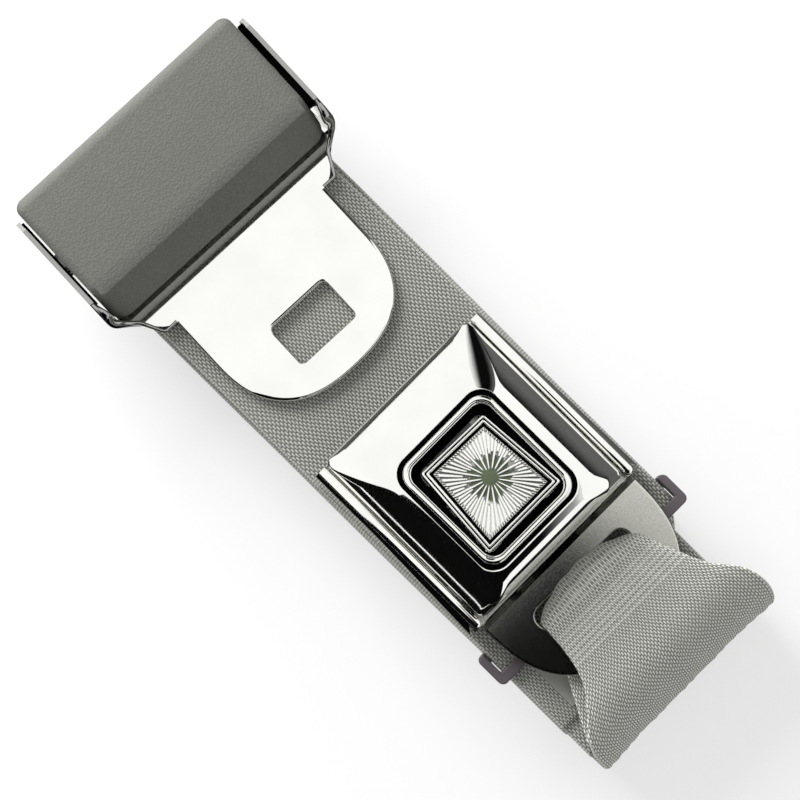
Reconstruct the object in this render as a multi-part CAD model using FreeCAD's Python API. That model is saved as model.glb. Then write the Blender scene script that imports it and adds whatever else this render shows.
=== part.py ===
import FreeCAD, Part
import math
import os

# Folded two-piece lap belt, in millimetres.
# X runs along the belt from the adjuster cap to the fold of the buckle strap, Y across the webbing, Z up.
# The belt lies on its lowest strand of webbing. Its origin is under the middle of the folded pack.

# Webbing and how it lies in the pack
webbing_width = 50.0
webbing_thickness = 1.2
lie_gap = 0.3
folded_runs = 5
pack_right = 72.0
pack_left = -76.0
tail_end = 78.5
hem_length = 8.0
tail_narrowing = 4.5
label_length = 12.0
label_width = 34.0
label_side_shift = -3.0
label_thickness = 0.25

# Anchor plates, one at the end of each half
anchor_length = 50.0
anchor_width = 46.0
anchor_thickness = 3.0
anchor_bar = 8.0
anchor_slot_width = 6.0
anchor_slot_length = 38.0
anchor_hole_radius = 5.8
anchor_hole_margin = 14.0
anchor_corner = 5.0
anchor_edge_round = 0.6
anchor_eye_half = 8.7
anchor_eye_round = 7.7
anchor_shoulder = 4.0
anchor_rise_start = 4.0
anchor_rise_length = 16.0
tongue_anchor_bar_x = -29.0
buckle_anchor_bar_x = 38.0
short_end_length = 49.0

# Tongue plate: floor, upturned flanges and D-shaped tongue
tongue_tip_x = -11.6
tongue_reach = 31.2
tongue_width = 41.0
tongue_thickness = 2.2
window_nose = 7.4
window_length = 9.9
window_width = 15.2
window_corner = 1.0
tongue_side_end = 16.4
tongue_tip_side = 5.4
tongue_tip_slope = 0.78
tongue_tip_flat = 0.39
flange_side_room = 6.2
plate_width = webbing_width + 2 * flange_side_room
plate_length = 67.4
flange_height = 9.2
flange_lug_height = 6.4
flange_rim_height = 2.6
flange_rear_step = 3.0
flange_lug_length = 4.2
flange_lug_front = 1.4
shoulder_length = 8.2
shoulder_sweep = 4.0
shoulder_side = 2.0
shoulder_lean = 0.42
neck_flange = 1.8
neck_ledge = 0.5
adjuster_opening_length = 16.0
cross_bar_length = 5.0

# Adjuster bar, free to slide a little in the flanges
bar_radius = 3.5
bar_tenon_radius = 2.5
bar_travel = 1.8
bar_rise = 4.9
bar_clearance = 0.05
knurl_teeth = 20
knurl_depth = 0.35
bar_side_gap = 2.4

# Adjuster cap
cap_length = 32.7
cap_top_length = 25.6
cap_height = 12.0
cap_wall = 1.8
cap_corner = 2.3
cap_front_corner = 3.5
cap_side_gap = 0.3
cap_peg_radius = 1.9
cap_peg_clearance = 0.1
cap_peg_spread = 40.0
cap_top_round = 3.0
cap_rear_overhang = 5.2
cap_rear_wall = 1.4
cap_rear_lip = 1.0
cap_rear_drop = 1.6
cap_front_base = 5.2
cap_pad_height = 2.4
cap_pad_side = 0.8
peg_after_opening = 1.3

# Webbing keeper
keeper_x = 48.3
keeper_length = 7.6
keeper_width = 54.2
keeper_bar_width = 2.4
keeper_bar_thickness = 1.5
keeper_corner = 1.3

# Buckle: chrome housing and cover, zinc-plated frame that ends in the D-plate
mouth_x = -2.0
housing_length = 46.0
housing_width = 46.2
housing_sheet = 1.0
housing_bead_radius = 1.15
housing_bend = 1.6
frame_thickness = 2.0
mouth_height = 4.8
housing_front_gap = 0.6
frame_front_gap = 1.0
housing_rear_drop = 2.4
cover_foot_length = 3.2
cover_foot_clearance = 0.15
cover_foot_front = 6.0
cover_foot_rear = 2.0
cover_lean = 1.15
cover_front_lean = 0.6
rim_tuck = 1.1
bezel_tuck = 1.4
bezel_side_tuck = 0.8
cover_length = 44.8
cover_skirt = 2.9
cover_rise = 7.8
cover_sheet = 1.2
cover_front_slope = 10.7
cover_rear_slope = 4.3
cover_side_slope = 7.2
cover_base_corner = 1.6
cover_top_corner = 4.0
rim_width = 2.4
rim_height = 0.6
d_plate_width = 43.2
d_plate_end_radius = 22.8
d_plate_tip_x = 68.9
joggle_x = 45.6
joggle_length = 1.8
strap_slot_x = 48.8
strap_slot_width = 5.6
strap_slot_length = 29.0
strap_slot_corner = 2.5
slot_bar_corner = 0.8

# Push button, its bezel and insert
button_front_x = 13.3
button_length = 21.1
button_front_width = 17.4
button_rear_width = 20.4
button_corner = 1.4
button_wall = 1.5
button_travel = 2.6
button_gap = 0.3
button_sink = 0.2
button_edge_round = 0.3
button_step = 1.1
button_step_height = 0.5
button_top_thickness = 1.6
button_flange = 0.9
button_flange_thickness = 1.3
insert_inset = 2.2
insert_thickness = 1.0
insert_sink = 0.2
bezel_thickness = 1.4
bezel_depth = 2.0

# Latch lever on its pin, with a torsion spring
pivot_x = 24.0
pivot_height = 6.3
pin_radius = 1.5
pin_clearance = 0.05
lever_thickness = 2.2
lever_width = 12.0
lever_hub_radius = 2.6
lever_front_x = 10.3
lever_rear_x = 35.0
lever_step = 0.5
lever_droop = 0.3
lever_window_front = 3.6
lever_window_rear = 4.4
tooth_length = 4.0
tooth_ramp = 2.2
tooth_clear_of_floor = 0.7
foot_x = 33.0
foot_radius = 1.2
foot_gap = 0.2
frame_ear_spread = 30.0
frame_ear_thickness = 2.0
frame_ear_length = 5.0
frame_ear_above_pin = 1.2
frame_ear_blank = 4.4
spring_lug_thickness = 1.2
spring_lug_height = 3.0
spring_lug_half = 2.0
pin_head_radius = 2.2
pin_head_thickness = 0.5
spring_gap_half = 3.0
torsion_wire = 0.7
torsion_turns = 4
torsion_radius = 2.1

# Ejector and its two springs
ejector_front_x = 15.6
ejector_length = 5.0
ejector_width = 25.0
ejector_height = 2.2
ejector_travel = 6.5
ejector_key_width = 3.6
ejector_key_clearance = 0.2
ejector_key_set_back = 0.8
ejector_nose = 1.8
ejector_nose_half = 5.0
ejector_spring_spread = 17.0
ejector_spring_radius = 1.3
ejector_spring_wire = 0.5
ejector_spring_length = 10.0
ejector_spring_turns = 6

# Buckle strap
strap_fold_x = 83.45
strap_lower_end_x = 76.6
strap_drop_start = 3.0
strap_drop_end = 11.0
strap_sewn_end = 32.0
strap_full_from = 19.0

# Levels, from the ground up
pitch = webbing_thickness + lie_gap
half_web = webbing_thickness / 2
ground_z = half_web
anchor_z = webbing_thickness + lie_gap
anchor_top = anchor_z + anchor_thickness
anchor_upper_z = anchor_top + lie_gap + half_web
short_end_z = anchor_upper_z + pitch
first_run_z = short_end_z + pitch
last_run_z = first_run_z + folded_runs * pitch
keeper_low_z = last_run_z + half_web + lie_gap
tail_z = keeper_low_z + keeper_bar_thickness + lie_gap + half_web
tail_top = tail_z + half_web
plate_z = tail_top + lie_gap
plate_top = plate_z + tongue_thickness
keeper_high_z = tail_top + 2 * lie_gap
keeper_top = keeper_high_z + keeper_bar_thickness
housing_z = tail_top + lie_gap
frame_z = housing_z + housing_sheet
frame_top = frame_z + frame_thickness
strap_lower_z = keeper_top + lie_gap + half_web
d_plate_z = strap_lower_z + half_web + lie_gap
d_plate_top = d_plate_z + frame_thickness
strap_upper_z = d_plate_top + lie_gap + half_web
cover_z = frame_top + mouth_height
cover_shoulder_z = cover_z + cover_skirt
cover_top_z = cover_shoulder_z + cover_rise
rim_top_z = cover_top_z + rim_height
pivot_z = frame_top + pivot_height
bezel_top = rim_top_z - rim_height - bezel_depth
bezel_z = bezel_top - bezel_thickness
button_top = cover_top_z - button_sink
button_ceiling = button_top - button_top_thickness
button_flange_top = bezel_z - lie_gap
button_flange_z = button_flange_top - button_flange_thickness
bar_z = plate_top + bar_rise
cap_z = plate_top + lie_gap
cap_top = cap_z + cap_height
lever_z = cover_z + 0.2
lever_top = lever_z + lever_thickness
foot_z = lever_top + lever_step + foot_gap

# Places along the belt
neck_x = tongue_tip_x - tongue_reach
plate_rear_x = tongue_tip_x - plate_length
flange_inside = plate_width / 2 - tongue_thickness
cross_bar_rear_x = plate_rear_x + 1.0
opening_rear_x = cross_bar_rear_x + cross_bar_length
opening_front_x = opening_rear_x + adjuster_opening_length
cap_rear_x = cross_bar_rear_x - cap_rear_overhang
cap_front_x = cap_rear_x + cap_length
bar_x = opening_rear_x + 6.1
wrap_front_x = bar_x + bar_radius + bar_travel + lie_gap + half_web + 0.1
wrap_rear_x = bar_x - bar_radius - 1.0
wrap_top_z = bar_z + bar_radius + lie_gap + half_web
bar_bearing = plate_width / 2 - 0.3
cover_rear_x = mouth_x + cover_length
cover_half = housing_width / 2 - 2 * housing_bead_radius - lie_gap
rim_front_x = mouth_x + cover_front_slope
rim_rear_x = cover_rear_x - cover_rear_slope
rim_half = cover_half - cover_side_slope
housing_rear_x = mouth_x + housing_length
bar_inner_x = strap_slot_x + strap_slot_width
d_plate_centre_x = d_plate_tip_x - d_plate_end_radius
fold_radius = (strap_upper_z - ground_z) / 2
fold_x = strap_fold_x - half_web - fold_radius
anchor_loop_half = anchor_slot_length / 2 - 1.0
button_taper = (button_rear_width - button_front_width) / 2 / button_length
cover_foot_places = [pivot_x + cover_foot_front, cover_rear_x - cover_foot_length - cover_foot_rear]
ejector_rear_x = ejector_front_x + ejector_length
ejector_spring_rear_x = ejector_rear_x + ejector_spring_length + 0.2
ejector_spring_z = frame_top + ejector_spring_radius + ejector_spring_wire / 2 + 0.1
ejector_slot_front = ejector_front_x + ejector_key_set_back - ejector_key_clearance
ejector_slot_rear = ejector_rear_x + ejector_travel + ejector_key_clearance
cap_peg_x = opening_front_x + cap_peg_radius + peg_after_opening
pack_shift = -(cap_rear_x + strap_fold_x) / 2


def v(x, y, z):
    return FreeCAD.Vector(x, y, z)


def box(x0, x1, y0, y1, z0, z1):
    return Part.makeBox(x1 - x0, y1 - y0, z1 - z0, v(x0, y0, z0))


def cross_cylinder(radius, x, z, half):
    """A cylinder across the belt, centred on the middle plane."""
    return Part.makeCylinder(radius, 2 * half, v(x, -half, z), v(0, 1, 0))


def both_sides(shape):
    """The shape and its mirror image across the middle plane."""
    return [shape, shape.mirror(v(0, 0, 0), v(0, 1, 0))]


def rounded_face(points, radii, place):
    """A flat face inside a closed polygon with tangent arcs at its corners. place turns (a, b) into 3-D."""
    count = len(points)
    starts, mids, ends = [], [], []
    for i in range(count):
        px, py = points[i]
        ax, ay = points[i - 1][0] - px, points[i - 1][1] - py
        bx, by = points[(i + 1) % count][0] - px, points[(i + 1) % count][1] - py
        la, lb = math.hypot(ax, ay), math.hypot(bx, by)
        ax, ay, bx, by = ax / la, ay / la, bx / lb, by / lb
        half_angle = math.acos(max(-1.0, min(1.0, ax * bx + ay * by))) / 2
        reach = radii[i] / math.tan(half_angle)
        mx, my = ax + bx, ay + by
        length = math.hypot(mx, my)
        gap = radii[i] / math.sin(half_angle) - radii[i]
        starts.append((px + ax * reach, py + ay * reach))
        mids.append((px + mx / length * gap, py + my / length * gap))
        ends.append((px + bx * reach, py + by * reach))
    edges = []
    for i in range(count):
        if radii[i] > 0:
            edges.append(Part.Arc(place(*starts[i]), place(*mids[i]), place(*ends[i])).toShape())
        following = starts[(i + 1) % count]
        if math.dist(ends[i], following) > 1e-6:
            edges.append(Part.LineSegment(place(*ends[i]), place(*following)).toShape())
    return Part.Face(Part.Wire(edges))


def plan_prism(points, radii, z0, z1):
    """A prism that stands on an outline in plan."""
    face = rounded_face(points, radii, lambda x, y: v(x, y, z0))
    return face.extrude(v(0, 0, z1 - z0))


def side_prism(points, radii, y0, y1):
    """A prism across the belt from an outline seen from the side."""
    face = rounded_face(points, radii, lambda x, z: v(x, y0, z))
    return face.extrude(v(0, y1 - y0, 0))


def rectangle(x0, x1, half):
    return [(x0, -half), (x1, -half), (x1, half), (x0, half)]


def strip(points, radii, thickness, half_width):
    """A band that follows a path seen from the side: straight runs joined by tangent arcs.

    points are the path's corners as (x, z), and radii the arc at each corner, on the band's middle line.
    """
    runs = []
    for (x0, z0), (x1, z1) in zip(points, points[1:]):
        length = math.hypot(x1 - x0, z1 - z0)
        runs.append(((x1 - x0) / length, (z1 - z0) / length))
    sides = []
    for offset in (thickness / 2, -thickness / 2):
        at = [(points[0][0] - runs[0][1] * offset, points[0][1] + runs[0][0] * offset)]
        pieces = []
        for i, radius in enumerate(radii, start=1):
            (ax, az), (bx, bz) = runs[i - 1], runs[i]
            turn = math.atan2(ax * bz - az * bx, ax * bx + az * bz)
            side = math.copysign(1.0, turn)
            reach = radius * math.tan(abs(turn) / 2)
            px, pz = points[i]
            cx = px - ax * reach - az * side * radius
            cz = pz - az * reach + ax * side * radius
            arc = radius - side * offset
            away = math.hypot(px - cx, pz - cz)
            start = (px - ax * reach - az * offset, pz - az * reach + ax * offset)
            middle = (cx + (px - cx) / away * arc, cz + (pz - cz) / away * arc)
            end = (px + bx * reach - bz * offset, pz + bz * reach + bx * offset)
            pieces.append(("line", at[-1], start))
            pieces.append(("arc", start, middle, end))
            at.append(end)
        last = (points[-1][0] - runs[-1][1] * offset, points[-1][1] + runs[-1][0] * offset)
        pieces.append(("line", at[-1], last))
        sides.append(pieces)

    def place(p):
        return v(p[0], -half_width, p[1])

    edges = []
    for pieces in sides:
        for piece in pieces:
            if piece[0] == "arc":
                edges.append(Part.Arc(place(piece[1]), place(piece[2]), place(piece[3])).toShape())
            elif math.dist(piece[1], piece[2]) > 1e-6:
                edges.append(Part.LineSegment(place(piece[1]), place(piece[2])).toShape())
    for end in (0, -1):
        first = sides[0][end][1 if end == 0 else 2]
        second = sides[1][end][1 if end == 0 else 2]
        edges.append(Part.LineSegment(place(first), place(second)).toShape())
    wire = Part.Wire(Part.__sortEdges__(edges))
    return Part.Face(wire).extrude(v(0, 2 * half_width, 0))


def outside_of(points, z0, z1):
    """What is cut off a band so that its half width follows points, given as (x, half width)."""
    reach = webbing_width
    outline = points + [(points[-1][0], reach), (points[0][0], reach)]
    prism = plan_prism(outline, [0] * len(outline), z0, z1)
    return both_sides(prism)


def coil(radius, wire_radius, turns, length, base, direction):
    """A helical spring body that starts at base and runs along direction."""
    helix = Part.makeHelix(length / turns, length, radius)
    profile = Part.Wire(Part.makeCircle(wire_radius, v(radius, 0, 0), v(0, 1, 0)))
    body = Part.Wire(helix).makePipeShell([profile], True, True)
    turn = FreeCAD.Rotation(v(0, 0, 1), direction)
    body.Placement = FreeCAD.Placement(base, turn)
    return body


def anchor_plate(bar_x):
    """Steel anchor plate: a bar and slot for the webbing, and an eye for the floor bolt."""
    tip = bar_x - anchor_length
    half = anchor_width / 2
    eye = anchor_eye_half
    shoulder = bar_x - anchor_bar - anchor_slot_width - anchor_shoulder
    outline = [(bar_x, -half), (bar_x, half), (shoulder, half), (tip, eye), (tip, -eye), (shoulder, -half)]
    corner = anchor_corner
    radii = [corner, corner, 2 * corner, anchor_eye_round, anchor_eye_round, 2 * corner]
    plate = plan_prism(outline, radii, anchor_z, anchor_top)
    slot_front = bar_x - anchor_bar
    slot = plan_prism(
        rectangle(slot_front - anchor_slot_width, slot_front, anchor_slot_length / 2),
        [anchor_slot_width * 0.4, slot_bar_corner, slot_bar_corner, anchor_slot_width * 0.4],
        anchor_z,
        anchor_top,
    )
    plate = plate.cut(slot)
    rims = [e for e in plate.Edges if abs(e.BoundBox.XMax - slot_front) < 0.01]
    rims = [e for e in rims if e.BoundBox.ZLength < 0.01 and e.BoundBox.XLength < 0.01]
    plate = plate.makeFillet(anchor_edge_round, rims)
    hole_x = tip + anchor_hole_margin
    return plate.cut(Part.makeCylinder(anchor_hole_radius, anchor_thickness, v(hole_x, 0, anchor_z)))


def tongue_outline():
    """Half of the D-shaped tongue in plan, from the neck to the tip, as corners and radii."""
    half = tongue_width / 2
    tip = tongue_tip_x
    corners = [
        (tip - tongue_side_end, half),
        (tip - tongue_tip_side, half * tongue_tip_slope),
        (tip, half * tongue_tip_flat),
    ]
    return corners, [20.0, 10.0, 9.0]


def shoulder_corners(inset):
    """Half of the flanged part in plan: straight side, swept shoulder and neck, set in by the wall."""
    half = plate_width / 2 - inset
    neck_half = tongue_width / 2 + neck_flange - inset
    sweep = inset * shoulder_lean
    return [
        (neck_x - shoulder_length - sweep, half),
        (neck_x - shoulder_sweep - sweep, neck_half + shoulder_side),
        (neck_x, neck_half),
    ]


def tongue_plate():
    """Pressed plate: floor with the adjuster opening, upturned flanges, and the tongue with its window."""
    tongue_corners, tongue_radii = tongue_outline()
    half = tongue_width / 2
    points = [(neck_x - 6.0, half)] + tongue_corners
    points += [(x, -y) for x, y in reversed(points)]
    radii = [0.0] + tongue_radii
    radii += list(reversed(radii))
    tongue = plan_prism(points, radii, plate_z, plate_top)

    outer = [(plate_rear_x, plate_width / 2)] + shoulder_corners(0.0)
    outer += [(x, -y) for x, y in reversed(outer)]
    outer_radii = [0.0, 3.5, 5.0, 0.0]
    outer_radii += list(reversed(outer_radii))
    body = plan_prism(outer, outer_radii, plate_z, plate_top + flange_height)
    inner = [(plate_rear_x - 5.0, flange_inside)] + shoulder_corners(tongue_thickness)
    inner += [(x, -y) for x, y in reversed(inner)]
    inner_radii = [0.0, 1.5, 7.0, 0.0]
    inner_radii += list(reversed(inner_radii))
    body = body.cut(plan_prism(inner, inner_radii, plate_top, plate_top + 2 * flange_height))
    between = half - 0.6
    above = plate_top + 2 * flange_height
    body = body.cut(box(neck_x - 3.0, neck_x + 5.0, -between, between, plate_top, above))

    lug_front = neck_x - shoulder_length + flange_lug_front
    lug_rear = lug_front - flange_lug_length
    rim = plate_top + flange_rim_height
    lug = plate_top + flange_lug_height
    top = plate_top + flange_height
    above = top + flange_height
    step = flange_rear_step
    ledge = plate_top + neck_ledge
    contour = [
        (plate_rear_x - step, above),
        (plate_rear_x - step, top - 5.0),
        (plate_rear_x, top - step),
        (plate_rear_x + step, top),
        (lug_rear - 1.0, top),
        (lug_rear - 0.2, lug - 1.2),
        (lug_rear + 0.8, lug),
        (lug_front - 1.2, lug),
        (lug_front + 0.8, rim + 0.8),
        (neck_x, ledge),
        (neck_x + step, ledge),
        (neck_x + step, above),
    ]
    contour_radii = [0.0, 0.0, 0.5, 3.0, 0.7, 0.4, 0.9, 1.8, 1.5, 0.5, 0.0, 0.0]
    body = body.cut(side_prism(contour, contour_radii, -plate_width, plate_width))
    plate = body.fuse(tongue)

    opening_half = webbing_width / 2 + 1.0
    opening = rectangle(opening_rear_x, opening_front_x, opening_half)
    plate = plate.cut(plan_prism(opening, [2.0] * 4, plate_z - 1.0, plate_top + 1.0))
    plate = plate.cut(
        box(plate_rear_x - 1.0, cross_bar_rear_x, -flange_inside, flange_inside, plate_z - 1.0, plate_top)
    )
    window_front = tongue_tip_x - window_nose
    window = rectangle(window_front - window_length, window_front, window_width / 2)
    plate = plate.cut(plan_prism(window, [window_corner] * 4, plate_z - 1.0, plate_top + 1.0))
    slot_radius = bar_tenon_radius + bar_clearance
    slot = [
        (bar_x - slot_radius, bar_z - slot_radius),
        (bar_x + bar_travel + slot_radius, bar_z - slot_radius),
        (bar_x + bar_travel + slot_radius, bar_z + slot_radius),
        (bar_x - slot_radius, bar_z + slot_radius),
    ]
    plate = plate.cut(side_prism(slot, [slot_radius * 0.999] * 4, -plate_width, plate_width))
    for y in (-cap_peg_spread / 2, cap_peg_spread / 2):
        radius = cap_peg_radius + cap_peg_clearance
        plate = plate.cut(Part.makeCylinder(radius, 3 * tongue_thickness, v(cap_peg_x, y, plate_z - 1.0)))
    return plate.removeSplitter()


def adjuster_bar():
    """Knurled bar between two collars, with round tenons that ride in the flanges."""
    knurl_half = webbing_width / 2 + 0.2
    corners = []
    for i in range(2 * knurl_teeth):
        radius = bar_radius - (knurl_depth if i % 2 else 0.0)
        angle = math.pi * i / knurl_teeth
        corners.append((bar_x + radius * math.cos(angle), bar_z + radius * math.sin(angle)))
    knurl = side_prism(corners, [0.0] * len(corners), -knurl_half, knurl_half)
    collar = cross_cylinder(bar_radius, bar_x, bar_z, flange_inside - bar_side_gap)
    collar = collar.cut(box(bar_x - 9, bar_x + 9, -knurl_half, knurl_half, bar_z - 9, bar_z + 9))
    tenons = cross_cylinder(bar_tenon_radius, bar_x, bar_z, bar_bearing)
    return knurl.fuse([collar, tenons]).removeSplitter()


def adjuster_cap():
    """Moulded cover over the bar: round-edged block with a sloping front, hollow below, on two pegs."""
    half = flange_inside - cap_side_gap
    slope = cap_length - cap_top_length
    tail_down = plate_z - cap_rear_drop
    profile = [
        (cap_rear_x, tail_down),
        (cap_rear_x + cap_rear_lip, tail_down),
        (cap_rear_x + cap_rear_lip, cap_z),
        (cap_front_x, cap_z),
        (cap_front_x - slope, cap_top),
        (cap_rear_x, cap_top),
    ]
    body = side_prism(profile, [0.0, 0.0, 0.0, 0.0, cap_top_round, cap_top_round], -half, half)
    rims = []
    for edge in body.Edges:
        bounds = edge.BoundBox
        on_side = abs(abs(bounds.YMin) - half) < 0.01 and bounds.YLength < 0.01
        if on_side and bounds.ZMax > cap_z + 0.7:
            rims.append(edge)
    body = body.makeFillet(cap_corner, rims)
    inner_slope = slope * 0.9
    base_x = cap_front_x - cap_front_base
    inside = [
        (cap_rear_x + cap_rear_wall, tail_down - 5.0),
        (base_x, tail_down - 5.0),
        (base_x, cap_z + cap_pad_height),
        (cap_front_x - inner_slope - cap_wall - 0.8, cap_top - cap_wall),
        (cap_rear_x + cap_rear_wall, cap_top - cap_wall),
    ]
    body = body.cut(side_prism(inside, [0.0, 0.0, 0.5, 1.5, 2.0], -half + cap_wall, half - cap_wall))
    body = body.common(
        plan_prism(
            rectangle(cap_rear_x - 1.0, cap_front_x, half),
            [0.0, cap_front_corner, cap_front_corner, 0.0],
            tail_down - 1.0,
            cap_top + 1.0,
        )
    )
    tenon_clear = bar_tenon_radius + lie_gap
    tenon_end = bar_x + bar_travel + tenon_clear
    body = body.cut(box(bar_x - tenon_clear, tenon_end, -half, half, tail_down, bar_z + tenon_clear))
    pegs = []
    for y in (-cap_peg_spread / 2, cap_peg_spread / 2):
        length = cap_z + 1.0 - plate_z - lie_gap
        pegs.append(Part.makeCylinder(cap_peg_radius, length, v(cap_peg_x, y, plate_z + lie_gap)))
    pad_rear = cap_peg_x - cap_peg_radius - cap_pad_side
    pad_half = half - 0.5
    pad = box(pad_rear, cap_front_x - 3.0, -pad_half, pad_half, cap_z, cap_z + cap_pad_height)
    return body.fuse([pad] + pegs).removeSplitter()


def tongue_webbing():
    """One length of webbing: sewn loop on the anchor, folded runs, round the bar, then the tail on top."""
    loop_radius = (anchor_upper_z - ground_z) / 2
    slot_mid_x = tongue_anchor_bar_x - anchor_bar
    loop_x = slot_mid_x + 0.6 - loop_radius
    ramp_low = tongue_anchor_bar_x + anchor_rise_start
    ramp_high = ramp_low + anchor_rise_length
    points = [
        (tongue_anchor_bar_x + short_end_length, short_end_z),
        (ramp_high, short_end_z),
        (ramp_low, ground_z),
        (loop_x, ground_z),
        (loop_x, anchor_upper_z),
        (ramp_low, anchor_upper_z),
        (ramp_high, first_run_z),
    ]
    radii = [4.0, 4.0, loop_radius, loop_radius, 4.0, 4.0]
    fold = pitch / 2
    level = first_run_z
    for i in range(folded_runs):
        end = pack_right if i % 2 == 0 else pack_left
        points += [(end, level), (end, level + pitch)]
        radii += [fold, fold]
        level += pitch
    over_bar_z = plate_top + lie_gap + half_web
    round_radius = (over_bar_z - level) / 2
    rear = cross_bar_rear_x + 0.8 - round_radius
    points += [
        (rear, level),
        (rear, over_bar_z),
        (wrap_rear_x - 1.8, over_bar_z),
        (wrap_rear_x - 0.6, wrap_top_z),
        (wrap_front_x, wrap_top_z),
        (wrap_front_x, tail_z),
        (tail_end, tail_z),
        (tail_end, tail_z + pitch),
        (tail_end - hem_length, tail_z + pitch),
    ]
    radii += [round_radius, round_radius, 1.2, 2.6, 3.6, 3.0, fold, fold]
    band = strip(points, radii[: len(points) - 2], webbing_thickness, webbing_width / 2)
    gather = [
        (loop_x - 9.0, anchor_loop_half),
        (ramp_low, anchor_loop_half),
        (ramp_high, webbing_width / 2),
        (ramp_high + 1.0, webbing_width / 2),
    ]
    band = band.cut(outside_of(gather, -1.0, anchor_top + 1.4))
    narrow = [
        (keeper_x + keeper_length, webbing_width / 2 + 1.0),
        (keeper_x + keeper_length, webbing_width / 2),
        (keeper_x + keeper_length + 2.5, webbing_width / 2 - tail_narrowing),
        (tail_end + 2.0, webbing_width / 2 - tail_narrowing),
        (tail_end + 2.0, webbing_width / 2 + 1.0),
    ]
    edge = plan_prism(narrow, [0.0] * 5, tail_z - pitch / 2, tail_z + 2 * pitch)
    return band.cut(edge)


def webbing_label():
    """Thin bare patch sewn to the tail, beyond the keeper."""
    front = keeper_x + keeper_length + 1.0
    outline = rectangle(front, front + label_length, label_width / 2)
    patch = plan_prism(outline, [0.6] * 4, tail_top, tail_top + label_thickness)
    return patch.translated(v(0, label_side_shift, 0))


def webbing_keeper():
    """Moulded slide: one bar under the tail, one bar over it, and an end block at each side."""
    block_inside = webbing_width / 2 + lie_gap
    rear = keeper_x + keeper_length
    blocks = plan_prism(
        rectangle(keeper_x, rear, keeper_width / 2),
        [keeper_corner] * 4,
        keeper_low_z,
        keeper_top,
    )
    blocks = blocks.cut(
        box(keeper_x - 1, rear + 1, -block_inside, block_inside, keeper_low_z - 1, keeper_top + 1)
    )
    low = box(
        keeper_x,
        keeper_x + keeper_bar_width,
        -block_inside - 0.5,
        block_inside + 0.5,
        keeper_low_z,
        keeper_low_z + keeper_bar_thickness,
    )
    high = box(
        rear - keeper_bar_width,
        rear,
        -block_inside - 0.5,
        block_inside + 0.5,
        keeper_high_z,
        keeper_top,
    )
    return blocks.fuse([low, high]).removeSplitter()


def buckle_housing():
    """Chrome channel: thin floor, side walls, and a bead curled inwards along each top edge."""
    front = mouth_x + housing_front_gap
    half = housing_width / 2
    bead_z = cover_shoulder_z - housing_bead_radius
    channel = side_profile_channel(front, half, bead_z)
    beads = []
    bead_length = housing_rear_x - 1.4 - front
    for y in (-half + housing_bead_radius, half - housing_bead_radius):
        bead = Part.makeCylinder(housing_bead_radius, bead_length, v(front, y, bead_z), v(1, 0, 0))
        end = Part.makeSphere(housing_bead_radius, v(housing_rear_x - 1.4, y, bead_z))
        beads += [bead, end]
    housing = channel.fuse(beads)
    for foot in cover_feet():
        housing = housing.cut(foot)
    slot = box(
        ejector_slot_front,
        ejector_slot_rear,
        -ejector_key_width / 2 - 2.0,
        ejector_key_width / 2 + 2.0,
        housing_z - 1.0,
        frame_z,
    )
    return housing.cut(slot).removeSplitter()


def side_profile_channel(front, half, bead_z):
    """The channel's floor and walls, with the walls rounded down at the rear."""
    bend = housing_bend
    outer = [(-half, housing_z), (half, housing_z), (half, bead_z), (-half, bead_z)]
    face = rounded_face(outer, [bend, bend, 0.0, 0.0], lambda y, z: v(front, y, z))
    block = face.extrude(v(housing_rear_x - front, 0, 0))
    inner_half = half - housing_sheet
    open_top = bead_z + 5.0
    inner = [(-inner_half, frame_z), (inner_half, frame_z), (inner_half, open_top), (-inner_half, open_top)]
    inner_bend = bend - housing_sheet
    face = rounded_face(inner, [inner_bend, inner_bend, 0.0, 0.0], lambda y, z: v(front - 1, y, z))
    channel = block.cut(face.extrude(v(housing_length + 4, 0, 0)))
    rear = housing_rear_x
    drop = [
        (rear - housing_rear_drop, bead_z + 1.0),
        (rear - housing_rear_drop, bead_z - 1.2),
        (rear, frame_top - 0.4),
        (rear + 2.0, frame_top - 0.4),
        (rear + 2.0, bead_z + 1.0),
    ]
    channel = channel.cut(side_prism(drop, [0.0, 3.0, 1.5, 0.0, 0.0], -half - 1, half + 1))
    return channel.cut(box(joggle_x - 2.6, rear + 1, -half - 1, half + 1, housing_z - 1, frame_z))


def cover_feet():
    """Slots in floor and housing that take the cover's four feet."""
    slots = []
    reach = cover_sheet / 2 + cover_foot_clearance
    for x in cover_foot_places:
        x0 = x - cover_foot_clearance
        x1 = x + cover_foot_length + cover_foot_clearance
        for side in (-1, 1):
            y = side * (cover_half - cover_sheet / 2)
            slots.append(box(x0, x1, y - reach, y + reach, housing_z - 1.0, frame_top + 1.0))
    return slots


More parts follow.
